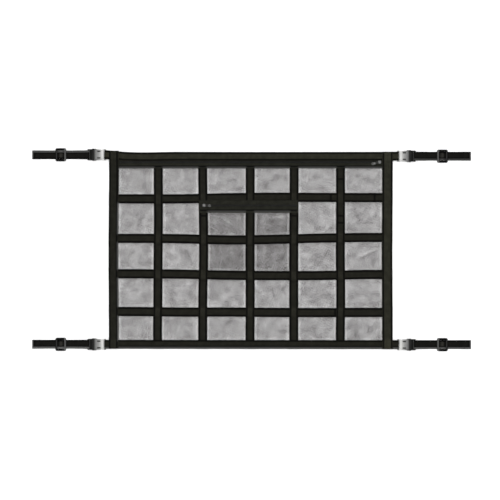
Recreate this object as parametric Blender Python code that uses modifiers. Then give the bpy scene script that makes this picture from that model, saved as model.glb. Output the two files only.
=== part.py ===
"""Car ceiling storage net, lying flat and face up.

Two panels of fine mesh make a flat bag under a grid of black webbing. A zip runs along the top
edge, a smaller zip closes a pocket over the four middle openings, and a hanging strap with a
buckle and a tri-glide leaves each corner. +X runs along the length, +Y towards the top zip and
+Z out of the face; the origin is on the surface that the net lies on, at its middle.
"""

import math

import bmesh
import bpy
import numpy as np
from mathutils import Matrix, Vector

MM = 0.001

# Cloth: every mesh panel, web and tape is one sheet thick, and sheets lie a small gap apart
SHEET = 1.0 * MM
GAP = 0.3 * MM
LAYER = SHEET + GAP
HALF_SHEET = SHEET / 2

# How a web steps over what lies under it
STEP_MARGIN = 1.5 * MM
STEP_RAMP = 6.0 * MM
STATION_PITCH = 44.0 * MM

# Webbing widths
STRAP_WIDTH = 25.0 * MM
UPRIGHT_WIDTH = 25.0 * MM
CROSS_WIDTH = 26.0 * MM
LEFT_SIDE_WIDTH = 27.4 * MM
RIGHT_SIDE_WIDTH = 29.6 * MM

# Mesh panels
PANEL_LEFT = -400.5 * MM
PANEL_RIGHT = 395.5 * MM
PANEL_BOTTOM = -277.5 * MM
BACK_PANEL_TOP = 272.0 * MM
FRONT_PANEL_TOP = 236.0 * MM

# Pocket panel, and the zip that closes its top
POCKET_LEFT = -146.5 * MM
POCKET_RIGHT = 129.0 * MM
POCKET_BOTTOM = -80.0 * MM
POCKET_TOP = 121.0 * MM
POCKET_TAPE_LEFT = -149.0 * MM
POCKET_TAPE_RIGHT = 131.5 * MM
POCKET_TAPE_LOW = 104.0 * MM
POCKET_TAPE_HIGH = 139.5 * MM
POCKET_ZIP_Y = 124.8 * MM

# Top zip
TOP_TAPE_LEFT = -388.0 * MM
TOP_TAPE_RIGHT = 381.0 * MM
TOP_TAPE_LOW = 229.4 * MM
TOP_TAPE_HIGH = 259.0 * MM
TOP_ZIP_Y = 247.3 * MM
TAPE_FALL = 5.5 * MM
CHAIN_WIDTH = 5.0 * MM
CHAIN_END_MARGIN = 1.0 * MM

# Middle of each column and row of openings, where the tables below give the webs' centre lines
COLUMN_X = tuple(x * MM for x in (-326.0, -200.0, -69.0, 57.0, 185.0, 316.0))
ROW_Y = tuple(y * MM for y in (-221.0, -123.0, -20.0, 87.0, 194.0))

# Centre line of each cross web, in mm: its height at the six columns, left to right
CROSS_WEBS = {
    "cross_web_1": (143.5, 143.5, 146.5, 148.0, 147.5, 147.0),
    "cross_web_2": (32.0, 31.0, 27.5, 29.0, 32.5, 34.5),
    "cross_web_3": (-68.0, -69.0, -72.0, -73.0, -73.0, -70.0),
    "cross_web_4": (-174.5, -176.0, -176.0, -177.0, -177.5, -177.0),
}

# Centre line of each upright web, in mm: its place along X at the five rows, bottom to top
UPRIGHT_WEBS = {
    "upright_web_1": (-265.5, -264.5, -264.0, -263.0, -263.5),
    "upright_web_2": (-138.0, -137.5, -135.5, -136.0, -138.0),
    "upright_web_3": (-4.5, -4.0, -4.5, -4.0, -4.0),
    "upright_web_4": (119.0, 119.0, 119.0, 119.5, 120.0),
    "upright_web_5": (250.5, 251.5, 250.5, 251.0, 251.0),
}
POCKET_UPRIGHTS = ("upright_web_2", "upright_web_3", "upright_web_4")
POCKET_CROSS_WEBS = ("cross_web_2", "cross_web_3")
SIDE_WEBS = {
    "side_web_left": (-389.0, -389.5, -390.0, -389.5, -388.5),
    "side_web_right": (383.5, 383.0, 382.5, 383.0, 383.5),
}
UPRIGHT_TOP = 235.0 * MM
UPRIGHT_BOTTOM = -262.0 * MM
CROSS_LEFT = -386.0 * MM
CROSS_RIGHT = 379.0 * MM

# Long edge webs, in mm: their centre line's height at these places along X
EDGE_WEB_X = tuple(x * MM for x in (-430.0, -403.0, -365.0, -200.0, 0.0, 200.0, 398.0, 430.0))
EDGE_WEBS = {
    "top_web": (268.0, 267.6, 264.2, 263.6, 263.2, 263.4, 263.8, 264.0),
    "bottom_web": (-267.0, -267.0, -267.1, -267.4, -267.6, -267.8, -268.0, -268.0),
}
LAP_INSIDE = 25.0 * MM

# Corners: which way the strap leaves (-1 left, 1 right) and the height of its centre line
CORNERS = {
    "top_left": (-1, 268.0 * MM),
    "top_right": (1, 264.0 * MM),
    "bottom_left": (-1, -267.0 * MM),
    "bottom_right": (1, -268.0 * MM),
}
NET_EDGE = {-1: 403.0 * MM, 1: 398.4 * MM}

# Puckers of the front panel and pocket between the webs: height of the crown at each opening,
# in mm, one line for each row from the bottom, the columns left to right
PUCKERS = (
    (1.3, 0.8, 1.1, 0.9, 1.6, 1.8),
    (0.9, 1.4, 1.0, 0.7, 1.2, 1.0),
    (1.5, 1.0, 1.7, 1.3, 1.1, 1.6),
    (1.8, 1.2, 1.5, 1.9, 1.4, 0.9),
    (1.0, 1.5, 0.8, 1.1, 1.3, 1.4),
)
PUCKER_MARGIN = 4.0 * MM
PUCKER_LEAN = 0.18

# Buckle, measured outwards from the end of its webbing bar nearest the net
BUCKLE_START = 410.5 * MM
BUCKLE_HEIGHT = 9.0 * MM
BUCKLE_WIDTH = 34.0 * MM
LOOP_WIDTH = 31.0 * MM
LOOP_CORNER = 1.5 * MM
LOOP_ROOT = 2.5 * MM
SLOT_WIDTH = 25.6 * MM
BAR_WIDTH = 3.5 * MM
BAR_HEIGHT = 3.0 * MM
FEMALE_SLOT = 4.8 * MM
FEMALE_LENGTH = 32.5 * MM
CAVITY_START = 11.0 * MM
CAVITY_WIDTH = 27.2 * MM
CAVITY_HEIGHT = 5.2 * MM
WINDOW_START = 15.0 * MM
WINDOW_END = 25.0 * MM
WINDOW_WIDTH = 3.6 * MM
WINDOW_CORNER = 1.0 * MM
WINDOW_OFFSET = 9.2 * MM
TONGUE_HEIGHT = 4.4 * MM
SHOULDER_LENGTH = 6.7 * MM
SHOULDER_CORNER = 1.2 * MM
GRIP_END = 46.8 * MM
GRIP_WIDTH = 28.0 * MM
GRIP_HEIGHT = 6.4 * MM
MALE_SLOT = 1.8 * MM
MALE_END = 52.5 * MM
PLASTIC_ROUNDING = 0.8 * MM

# Outline of one side of the female half's body, in mm, from its neck to its mouth
FEMALE_OUTLINE = {
    "out": (8.3, 10.8, 15.0, 25.0, 28.0, 31.0, 32.5),
    "half_width": (11.0, 13.5, 14.7, 14.9, 16.4, 17.0, 16.4),
}

# Outline of one side of the male half's tongue, in mm, from the middle prong's tip back to its
# root, then round the spring arm and out to the shoulder
MALE_OUTLINE = {
    "out": (16.0, 17.5, 31.5, 31.5, 15.0, 13.5, 15.5, 21.5, 23.0, 31.5, 32.5, 35.8),
    "half_width": (2.0, 3.2, 3.2, 7.6, 7.6, 9.2, 13.0, 13.0, 11.2, 11.2, 13.0, 13.0),
}

# Tri-glide, and the strap through it
GLIDE_MIDDLE = 128.0 * MM
GLIDE_LENGTH = 30.0 * MM
GLIDE_WIDTH = 37.0 * MM
GLIDE_HEIGHT = 3.2 * MM
GLIDE_BAR = 5.0 * MM
GLIDE_CORNER = 3.0 * MM
GLIDE_CLEAR = 1.0 * MM
STRAP_END = 209.3 * MM
HEM_LENGTH = 23.0 * MM
HEM_RISE = 1.5 * MM
HEM_FOLD_STEPS = 6
LAP_LENGTH = 30.0 * MM
LAP_FALL = 11.0 * MM
BAR_CLEARANCE = 0.4 * MM
FOLD_RADIUS = 1.2 * MM
FOLD_STEPS = 3

# Zip sliders and pulls
SLIDER_LENGTH = 10.0 * MM
SLIDER_WIDTH = 9.0 * MM
SLIDER_CORNER = 2.2 * MM
SLIDER_PLATE = 1.2 * MM
BRIDGE_LENGTH = 6.8 * MM
BRIDGE_WIDTH = 1.8 * MM
BRIDGE_LEG = 1.2 * MM
BRIDGE_BAR = 1.0 * MM
BRIDGE_CORNER = 0.6 * MM
BRIDGE_CLEAR = 2.2 * MM
PULL_THICKNESS = 1.0 * MM
PULL_WIDTH = 7.5 * MM
PULL_BEND = 6.0 * MM
PULL_HEAD = 0.9 * MM
PULL_HEAD_CORNER = 1.0 * MM
PULL_TIP_CORNER = 2.0 * MM
EYE_START = 1.1 * MM
EYE_END = 5.2 * MM
EYE_WIDTH = 4.2 * MM

# Each slider's place and the height of its underside; which way its pull points, in degrees
# from +X, how steeply the pull falls, and its length
ZIPS = {
    "pocket_zip": {"x": -133.6 * MM, "y": POCKET_ZIP_Y, "z": 6 * LAYER,
                   "turn": -3.0, "fall": 9.0, "length": 19.0 * MM},
    "top_zip": {"x": 360.8 * MM, "y": TOP_ZIP_Y, "z": 3 * LAYER,
                "turn": 195.0, "fall": 4.0, "length": 27.0 * MM},
}

# Modelling: how close points are merged, and how far a cut runs past a face
WELD = 0.01 * MM
CUT_PAST = 5.0 * MM

# Colour, roughness and metallic value of each material
FINISHES = {
    "mesh_fabric": ((0.055, 0.055, 0.057), 0.85, 0.0),
    "webbing": ((0.014, 0.014, 0.012), 0.75, 0.0),
    "zip_tape": ((0.017, 0.018, 0.016), 0.8, 0.0),
    "zip_chain": ((0.012, 0.012, 0.012), 0.45, 0.0),
    "zip_metal": ((0.32, 0.32, 0.31), 0.35, 0.9),
    "grey_plastic": ((0.38, 0.38, 0.37), 0.3, 0.0),
    "black_plastic": ((0.012, 0.012, 0.012), 0.4, 0.0),
}


# Scene set-up

def clear_scene():
    for obj in list(bpy.data.objects):
        bpy.data.objects.remove(obj, do_unlink=True)


def make_collection(name):
    collection = bpy.data.collections.new(name)
    bpy.context.scene.collection.children.link(collection)
    return collection


def make_material(name):
    color, roughness, metallic = FINISHES[name]
    material = bpy.data.materials.new(name)
    material.use_nodes = True
    shader = material.node_tree.nodes["Principled BSDF"]
    shader.inputs["Base Color"].default_value = (*color, 1.0)
    shader.inputs["Roughness"].default_value = roughness
    shader.inputs["Metallic"].default_value = metallic
    return material


def add_object(name, mesh, material):
    """A sub-part in the net's collection, with its own copy of its material."""
    obj = bpy.data.objects.new(name, mesh)
    COLLECTION.objects.link(obj)
    if not mesh.materials:
        mesh.materials.append(make_material(material))
    return obj


# Curves along the webs

def smooth_line(knots, values):
    """A smooth curve through the values at the knots, level past its ends."""
    slopes = np.gradient(values, knots)

    def at(place):
        place = min(max(place, knots[0]), knots[-1])
        i = min(int(np.searchsorted(knots, place, side="right")) - 1, len(knots) - 2)
        span = knots[i + 1] - knots[i]
        t = (place - knots[i]) / span
        start = (1 + 2 * t) * (1 - t) ** 2 * values[i] + t * (1 - t) ** 2 * span * slopes[i]
        end = t * t * (3 - 2 * t) * values[i + 1] + t * t * (t - 1) * span * slopes[i + 1]
        return start + end

    return at


def line_table(knots, table):
    return {name: smooth_line(knots, [value * MM for value in row]) for name, row in table.items()}


CROSS_Y = line_table(COLUMN_X, CROSS_WEBS)
UPRIGHT_X = line_table(ROW_Y, UPRIGHT_WEBS)
SIDE_X = line_table(ROW_Y, SIDE_WEBS)
EDGE_Y = line_table(EDGE_WEB_X, EDGE_WEBS)


def underside(place, base, steps):
    """Height of a web's underside: base, raised over each step (start, end, height)."""
    height = base
    for start, end, top in steps:
        corners = (start - STEP_MARGIN - STEP_RAMP, start - STEP_MARGIN,
                   end + STEP_MARGIN, end + STEP_MARGIN + STEP_RAMP)
        rise = float(np.interp(place, corners, (0, 1, 1, 0)))
        height = max(height, base + (top - base) * rise)
    return height


def stations(start, end, steps):
    """Places along a web: its ends, the corners of its steps, and even ones on long runs."""
    corners = {start, end}
    for low, high, _ in steps:
        for corner in (low - STEP_MARGIN - STEP_RAMP, low - STEP_MARGIN,
                       high + STEP_MARGIN, high + STEP_MARGIN + STEP_RAMP):
            if start + SHEET < corner < end - SHEET:
                corners.add(corner)
    ordered = sorted(corners)
    places = [ordered[0]]
    for here, there in zip(ordered, ordered[1:]):
        if there - places[-1] < SHEET and there != end:
            continue
        parts = max(1, math.ceil((there - here) / STATION_PITCH))
        places += [here + (there - here) * i / parts for i in range(1, parts + 1)]
    return places


# Sheets

def sheet(name, material, along, across, place):
    """A sheet of cloth whose middle surface runs through place(u, v)."""
    bm = bmesh.new()
    bmesh.ops.create_grid(bm, x_segments=len(along) - 1, y_segments=len(across) - 1, size=1)
    for vert in bm.verts:
        u = round((vert.co.x + 1) / 2 * (len(along) - 1))
        v = round((vert.co.y + 1) / 2 * (len(across) - 1))
        vert.co = place(along[u], across[v])
    mesh = bpy.data.meshes.new(name)
    bm.to_mesh(mesh)
    bm.free()
    obj = add_object(name, mesh, material)
    solidify = obj.modifiers.new("Thickness", 'SOLIDIFY')
    solidify.thickness = SHEET
    solidify.offset = 0
    solidify.use_even_offset = True
    return obj


def web_along_x(name, start, end, width, line, steps, base=2 * LAYER, material="webbing"):
    def place(x, side):
        height = underside(x, base, steps) + HALF_SHEET
        return Vector((x, line(x) + side * width / 2, height))

    return sheet(name, material, stations(start, end, steps), (-1, 1), place)


def web_along_y(name, start, end, width, line, steps, base=2 * LAYER):
    def place(y, side):
        height = underside(y, base, steps) + HALF_SHEET
        return Vector((line(y) - side * width / 2, y, height))

    return sheet(name, "webbing", stations(start, end, steps), (-1, 1), place)


def quarter_turn(z, start_angle):
    """Points of a rounded corner about (0, z), a quarter turn clockwise from the start angle."""
    angles = [start_angle - math.pi / 2 * i / FOLD_STEPS for i in range(FOLD_STEPS + 1)]
    return [(FOLD_RADIUS * math.cos(a), z + FOLD_RADIUS * math.sin(a)) for a in angles]


def bar_turn(slot_side, outward):
    """Path of a web round a buckle's bar, from above it to below it, through its slot.

    slot_side is the bar's face in the slot; outward is 1 where the slot lies further out.
    """
    reach = BAR_CLEARANCE + HALF_SHEET
    middle = BUCKLE_HEIGHT / 2
    top = middle + BAR_HEIGHT / 2 + reach - FOLD_RADIUS
    low = middle - BAR_HEIGHT / 2 - reach + FOLD_RADIUS
    centre = slot_side + outward * (reach - FOLD_RADIUS)
    turn = quarter_turn(top, math.pi / 2) + quarter_turn(low, 0)
    return [(centre + outward * x, z) for x, z in turn]


BAR_TOP = BUCKLE_HEIGHT / 2 + BAR_HEIGHT / 2 + BAR_CLEARANCE + HALF_SHEET
BAR_BOTTOM = BUCKLE_HEIGHT - BAR_TOP


# Mesh panels

def cell_edges(lines, knots, width, first, last):
    """Bounds of the openings between the webs, as the space that is clear all along them."""
    lows = [first]
    highs = []
    for line in lines:
        places = [line(knot) for knot in knots]
        highs.append(min(places) - width / 2 - PUCKER_MARGIN)
        lows.append(max(places) + width / 2 + PUCKER_MARGIN)
    return list(zip(lows, highs + [last]))


def opening_table():
    uprights = list(UPRIGHT_X.values())
    crosses = list(reversed(CROSS_Y.values()))
    first_x = max(SIDE_X["side_web_left"](y) for y in ROW_Y) + LEFT_SIDE_WIDTH / 2 + PUCKER_MARGIN
    last_x = min(SIDE_X["side_web_right"](y) for y in ROW_Y) - RIGHT_SIDE_WIDTH / 2 - PUCKER_MARGIN
    first_y = max(EDGE_Y["bottom_web"](x) for x in COLUMN_X) + STRAP_WIDTH / 2 + PUCKER_MARGIN
    last_y = TOP_TAPE_LOW - PUCKER_MARGIN
    columns = cell_edges(uprights, ROW_Y, UPRIGHT_WIDTH, first_x, last_x)
    rows = cell_edges(crosses, COLUMN_X, CROSS_WIDTH, first_y, last_y)
    return columns, rows


COLUMNS, ROWS = opening_table()


def pucker(x, y):
    """Height that the cloth stands up by between the webs, zero under them."""
    for (low_y, high_y), heights in zip(ROWS, PUCKERS):
        for (low_x, high_x), height in zip(COLUMNS, heights):
            if POCKET_LEFT < x < POCKET_RIGHT and low_y < POCKET_TAPE_LOW < high_y:
                high_y = POCKET_TAPE_LOW - PUCKER_MARGIN
            if low_x < x < high_x and low_y < y < high_y:
                u = (x - low_x) / (high_x - low_x)
                v = (y - low_y) / (high_y - low_y)
                lean = 1 + PUCKER_LEAN * math.sin(2 * math.pi * (u - v))
                return height * MM * math.sin(math.pi * u) * math.sin(math.pi * v) * lean
    return 0.0


def panel_lines(spans, parts, low, high):
    """Grid lines of a panel between two edges: the openings' bounds, and lines inside them."""
    places = {low, high}
    for start, end in spans:
        places |= {start + (end - start) * i / parts for i in range(parts + 1)}
    return sorted(place for place in places if low <= place <= high)


def flat_panel(name, left, right, bottom, top, height):
    return sheet(name, "mesh_fabric", (left, right), (bottom, top),
                 lambda x, y: Vector((x, y, height + HALF_SHEET)))


def puckered_panel(name, left, right, bottom, top, height):
    return sheet(name, "mesh_fabric", panel_lines(COLUMNS, 4, left, right),
                 panel_lines(ROWS, 3, bottom, top),
                 lambda x, y: Vector((x, y, height + HALF_SHEET + pucker(x, y))))


def build_panels():
    flat_panel("back_panel", PANEL_LEFT, PANEL_RIGHT, PANEL_BOTTOM, BACK_PANEL_TOP, 0)
    puckered_panel("front_panel", PANEL_LEFT, PANEL_RIGHT, PANEL_BOTTOM, FRONT_PANEL_TOP, LAYER)
    puckered_panel("pocket_panel", POCKET_LEFT, POCKET_RIGHT, POCKET_BOTTOM, POCKET_TOP, 2 * LAYER)


# Webs

def step_over(middle, width, height):
    return (middle - width / 2, middle + width / 2, height)


def build_cross_webs():
    for name, line in CROSS_Y.items():
        pocket = [(POCKET_LEFT, POCKET_RIGHT, 3 * LAYER)] if name in POCKET_CROSS_WEBS else []
        web_along_x(name, CROSS_LEFT, CROSS_RIGHT, CROSS_WIDTH, line, pocket)


def build_upright_webs():
    for name, line in UPRIGHT_X.items():
        steps = []
        if name in POCKET_UPRIGHTS:
            steps.append((POCKET_BOTTOM, POCKET_TOP, 3 * LAYER))
        for cross, cross_line in CROSS_Y.items():
            over_pocket = name in POCKET_UPRIGHTS and cross in POCKET_CROSS_WEBS
            height = 4 * LAYER if over_pocket else 3 * LAYER
            steps.append(step_over(cross_line(line(0)), CROSS_WIDTH, height))
        web_along_y(name, UPRIGHT_BOTTOM, UPRIGHT_TOP, UPRIGHT_WIDTH, line, steps)


def build_side_webs():
    for (name, line), width in zip(SIDE_X.items(), (LEFT_SIDE_WIDTH, RIGHT_SIDE_WIDTH)):
        middle_x = line(0)
        top = EDGE_Y["top_web"](middle_x)
        bottom = EDGE_Y["bottom_web"](middle_x)
        steps = [step_over(top, STRAP_WIDTH, 4 * LAYER), step_over(bottom, STRAP_WIDTH, 4 * LAYER),
                 (TOP_TAPE_LOW, TOP_TAPE_HIGH, 3 * LAYER)]
        steps += [step_over(cross(middle_x), CROSS_WIDTH, 3 * LAYER) for cross in CROSS_Y.values()]
        web_along_y(name, bottom - STRAP_WIDTH / 2, top + STRAP_WIDTH / 2, width, line, steps)


def edge_web_end(side):
    """Path of a long edge web from its lap's end, round the buckle's bar, to the net's edge."""
    edge = NET_EDGE[side] + STEP_MARGIN
    lap_z = 3 * LAYER + HALF_SHEET
    web_z = 2 * LAYER + HALF_SHEET
    path = [(NET_EDGE[side] - LAP_INSIDE, lap_z), (edge, lap_z), (BUCKLE_START - GAP, BAR_TOP)]
    path += bar_turn(BUCKLE_START + BAR_WIDTH, 1)
    path += [(BUCKLE_START - GAP, BAR_BOTTOM), (edge, web_z)]
    return [(side * x, z) for x, z in path]


def build_edge_webs():
    for name, line in EDGE_Y.items():
        steps = []
        if name == "bottom_web":
            steps = [step_over(upright(UPRIGHT_BOTTOM), UPRIGHT_WIDTH, 3 * LAYER)
                     for upright in UPRIGHT_X.values()]
        inner = stations(-NET_EDGE[-1] + SHEET, NET_EDGE[1] - SHEET, steps)
        run = [(x, underside(x, 2 * LAYER, steps) + HALF_SHEET) for x in inner]
        path = edge_web_end(-1) + run + list(reversed(edge_web_end(1)))
        sheet(name, "webbing", path, (-1, 1),
              lambda point, side, line=line: Vector((point[0],
                                                     line(point[0]) + side * STRAP_WIDTH / 2,
                                                     point[1])))


# Plates, buckles and tri-glides

def plate(outlines, thickness, middle, rounding=0.0):
    """A flat plate as a loose mesh object: the first outline is its edge, the rest are holes."""
    curve = bpy.data.curves.new("plate", 'CURVE')
    curve.dimensions = '2D'
    curve.fill_mode = 'BOTH'
    curve.extrude = thickness / 2 - rounding
    curve.bevel_depth = rounding
    curve.bevel_resolution = 1
    curve.offset = -rounding
    for outline in outlines:
        spline = curve.splines.new('POLY')
        spline.points.add(len(outline) - 1)
        for point, (x, y) in zip(spline.points, outline):
            point.co = (x, y, 0, 1)
        spline.use_cyclic_u = True
    guide = bpy.data.objects.new("plate", curve)
    bpy.context.scene.collection.objects.link(guide)
    depsgraph = bpy.context.evaluated_depsgraph_get()
    mesh = bpy.data.meshes.new_from_object(guide.evaluated_get(depsgraph))
    bpy.data.objects.remove(guide)
    bm = bmesh.new()
    bm.from_mesh(mesh)
    bmesh.ops.remove_doubles(bm, verts=bm.verts, dist=WELD)
    bmesh.ops.recalc_face_normals(bm, faces=bm.faces)
    bmesh.ops.translate(bm, verts=bm.verts, vec=(0, 0, middle))
    bm.to_mesh(mesh)
    bm.free()
    obj = bpy.data.objects.new("plate", mesh)
    bpy.context.scene.collection.objects.link(obj)
    return obj


def combined(base, joined=(), cut=()):
    """One mesh from loose objects: base with some joined on, then others cut away."""
    operands = [(obj, 'UNION') for obj in joined] + [(obj, 'DIFFERENCE') for obj in cut]
    for operand, operation in operands:
        boolean = base.modifiers.new("Boolean", 'BOOLEAN')
        boolean.operation = operation
        boolean.solver = 'EXACT'
        boolean.object = operand
    depsgraph = bpy.context.evaluated_depsgraph_get()
    mesh = bpy.data.meshes.new_from_object(base.evaluated_get(depsgraph))
    for obj in [base] + [operand for operand, _ in operands]:
        bpy.data.objects.remove(obj)
    return mesh


def rectangle(start, end, width, corner, middle=0.0):
    """A rectangle from start to end along X, its corners cut off or sharp."""
    half = width / 2
    if corner == 0:
        points = [(start, -half), (end, -half), (end, half), (start, half)]
    else:
        points = [(start, -half + corner), (start + corner, -half), (end - corner, -half),
                  (end, -half + corner), (end, half - corner), (end - corner, half),
                  (start + corner, half), (start, half - corner)]
    return [(x, y + middle) for x, y in points]


def mirrored(table):
    """A closed outline from the table of its +Y half."""
    half = [(out * MM, width * MM) for out, width in zip(table["out"], table["half_width"])]
    return half + [(x, -y) for x, y in reversed(half)]


def female_half():
    middle = BUCKLE_HEIGHT / 2
    slot_end = BAR_WIDTH + FEMALE_SLOT
    body = plate([mirrored(FEMALE_OUTLINE)], BUCKLE_HEIGHT, middle, PLASTIC_ROUNDING)
    loop = plate([rectangle(0, slot_end + LOOP_ROOT, LOOP_WIDTH, LOOP_CORNER),
                  rectangle(BAR_WIDTH, slot_end, SLOT_WIDTH, 0)], BAR_HEIGHT, middle)
    cavity = plate([rectangle(CAVITY_START, FEMALE_LENGTH + CUT_PAST, CAVITY_WIDTH, 0)],
                   CAVITY_HEIGHT, middle)
    windows = [plate([rectangle(WINDOW_START, WINDOW_END, WINDOW_WIDTH, WINDOW_CORNER, offset)],
                     BUCKLE_HEIGHT + CUT_PAST, middle) for offset in (-WINDOW_OFFSET, WINDOW_OFFSET)]
    return combined(body, joined=[loop], cut=[cavity] + windows)


def male_half():
    middle = BUCKLE_HEIGHT / 2
    shoulder_start = FEMALE_LENGTH + GAP
    shoulder_end = shoulder_start + SHOULDER_LENGTH
    slot_end = MALE_END - BAR_WIDTH
    shoulder = plate([rectangle(shoulder_start, shoulder_end, BUCKLE_WIDTH, SHOULDER_CORNER)],
                     BUCKLE_HEIGHT, middle, PLASTIC_ROUNDING)
    tongue = plate([mirrored(MALE_OUTLINE)], TONGUE_HEIGHT, middle)
    loop = plate([rectangle(shoulder_end - LOOP_ROOT, MALE_END, LOOP_WIDTH, LOOP_CORNER),
                  rectangle(slot_end - MALE_SLOT, slot_end, SLOT_WIDTH, 0)], BAR_HEIGHT, middle)
    grip = plate([rectangle(shoulder_end - LOOP_ROOT, GRIP_END, GRIP_WIDTH, SHOULDER_CORNER)],
                 GRIP_HEIGHT, middle, PLASTIC_ROUNDING)
    return combined(shoulder, joined=[tongue, loop, grip])


def tri_glide():
    start = GLIDE_MIDDLE - GLIDE_LENGTH / 2
    slot = (GLIDE_LENGTH - 3 * GLIDE_BAR) / 2
    slots = []
    for slot_start in (start + GLIDE_BAR, start + 2 * GLIDE_BAR + slot):
        slots.append(rectangle(slot_start, slot_start + slot, SLOT_WIDTH, 0))
    return combined(plate([rectangle(start, start + GLIDE_LENGTH, GLIDE_WIDTH, GLIDE_CORNER)] + slots,
                          GLIDE_HEIGHT, LAYER + GLIDE_HEIGHT / 2))


def strap_path():
    """Path of a hanging strap, outwards from its lap under the male half to its hem."""
    floor = HALF_SHEET
    raised = HEM_RISE + HALF_SHEET
    lap_end = MALE_END + LAP_LENGTH
    lap_step = lap_end + STEP_MARGIN
    slot_reach = GLIDE_LENGTH / 2 - GLIDE_BAR - GLIDE_CLEAR
    bar_reach = GLIDE_BAR / 2 + GLIDE_CLEAR
    over_bar = LAYER + GLIDE_HEIGHT + GAP + HALF_SHEET
    hem_start = STRAP_END - HEM_LENGTH
    hem_step = hem_start - STEP_MARGIN
    fold = HEM_RISE / 2
    fold_x = STRAP_END - HALF_SHEET - fold
    path = [(lap_end, floor), (MALE_END + STEP_RAMP, floor), (MALE_END + GAP, BAR_BOTTOM)]
    path += list(reversed(bar_turn(MALE_END - BAR_WIDTH, -1)))
    path += [(MALE_END + GAP, BAR_TOP), (MALE_END + LAP_FALL, raised), (lap_step, raised),
             (lap_step + STEP_RAMP, floor), (GLIDE_MIDDLE - slot_reach, floor),
             (GLIDE_MIDDLE - bar_reach, over_bar), (GLIDE_MIDDLE + bar_reach, over_bar),
             (GLIDE_MIDDLE + slot_reach, floor), (hem_step - STEP_RAMP, floor), (hem_step, raised)]
    for i in range(HEM_FOLD_STEPS + 1):
        angle = math.pi / 2 - math.pi * i / HEM_FOLD_STEPS
        path.append((fold_x + fold * math.cos(angle), floor + fold + fold * math.sin(angle)))
    path.append((hem_start, floor))
    return path


def strap(name):
    return sheet(name, "webbing", strap_path(), (-1, 1),
                 lambda point, edge: Vector((point[0], edge * STRAP_WIDTH / 2, point[1])))


def build_corners():
    """Each corner's pieces, turned half round about Z on the left, so that they lead outwards."""
    female = female_half()
    male = male_half()
    glide = tri_glide()
    for corner, (side, y) in CORNERS.items():
        pieces = [add_object(f"buckle_female_{corner}", female, "grey_plastic"),
                  add_object(f"buckle_male_{corner}", male, "black_plastic"),
                  add_object(f"tri_glide_{corner}", glide, "black_plastic"),
                  strap(f"strap_{corner}")]
        for piece in pieces:
            piece.location = (side * BUCKLE_START, y, 0)
            piece.rotation_euler = (0, 0, 0 if side > 0 else math.pi)


# Zips

def build_top_zip():
    uprights = [step_over(upright(TOP_TAPE_LOW), UPRIGHT_WIDTH, 3 * LAYER)
                for upright in UPRIGHT_X.values()]
    rows = (TOP_TAPE_LOW, FRONT_PANEL_TOP + STEP_MARGIN, FRONT_PANEL_TOP + STEP_MARGIN + TAPE_FALL,
            TOP_TAPE_HIGH)

    def place(x, y):
        on_panel = float(np.interp(y, rows, (1, 1, 0, 0)))
        height = LAYER + on_panel * (underside(x, 2 * LAYER, uprights) - LAYER)
        return Vector((x, y, height + HALF_SHEET))

    sheet("top_zip_tape", "zip_tape", stations(TOP_TAPE_LEFT, TOP_TAPE_RIGHT, uprights), rows, place)
    left = SIDE_X["side_web_left"](TOP_ZIP_Y) + LEFT_SIDE_WIDTH / 2 + CHAIN_END_MARGIN
    right = SIDE_X["side_web_right"](TOP_ZIP_Y) - RIGHT_SIDE_WIDTH / 2 - CHAIN_END_MARGIN
    web_along_x("top_zip_chain", left, right, CHAIN_WIDTH, lambda x: TOP_ZIP_Y, [],
                material="zip_chain")


def build_pocket_zip():
    uprights = [UPRIGHT_X[name](POCKET_ZIP_Y) for name in POCKET_UPRIGHTS]
    tape_steps = [step_over(x, UPRIGHT_WIDTH, 4 * LAYER) for x in uprights]
    chain_steps = [step_over(x, UPRIGHT_WIDTH, 5 * LAYER) for x in uprights]
    middle = (POCKET_TAPE_LOW + POCKET_TAPE_HIGH) / 2
    web_along_x("pocket_zip_tape", POCKET_TAPE_LEFT, POCKET_TAPE_RIGHT,
                POCKET_TAPE_HIGH - POCKET_TAPE_LOW, lambda x: middle, tape_steps, 3 * LAYER, "zip_tape")
    web_along_x("pocket_zip_chain", POCKET_TAPE_LEFT + CHAIN_END_MARGIN,
                POCKET_TAPE_RIGHT - CHAIN_END_MARGIN, CHAIN_WIDTH, lambda x: POCKET_ZIP_Y,
                chain_steps, 4 * LAYER, "zip_chain")


def zip_slider():
    """A slider's plate with its bridge, about the plate's middle and on its underside."""
    base = plate([rectangle(-SLIDER_LENGTH / 2, SLIDER_LENGTH / 2, SLIDER_WIDTH, SLIDER_CORNER)],
                 SLIDER_PLATE, SLIDER_PLATE / 2)
    half = BRIDGE_LENGTH / 2
    inner = half - BRIDGE_LEG
    foot = SLIDER_PLATE / 2
    under = SLIDER_PLATE + BRIDGE_CLEAR
    top = under + BRIDGE_BAR
    shoulder = top - BRIDGE_CORNER
    corner = half - BRIDGE_CORNER
    bridge = plate([[(-half, foot), (-inner, foot), (-inner, under), (inner, under), (inner, foot),
                     (half, foot), (half, shoulder), (corner, top), (-corner, top),
                     (-half, shoulder)]], BRIDGE_WIDTH, 0)
    bridge.data.transform(Matrix.Rotation(math.pi / 2, 4, 'X'))
    return combined(base, joined=[bridge])


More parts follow.
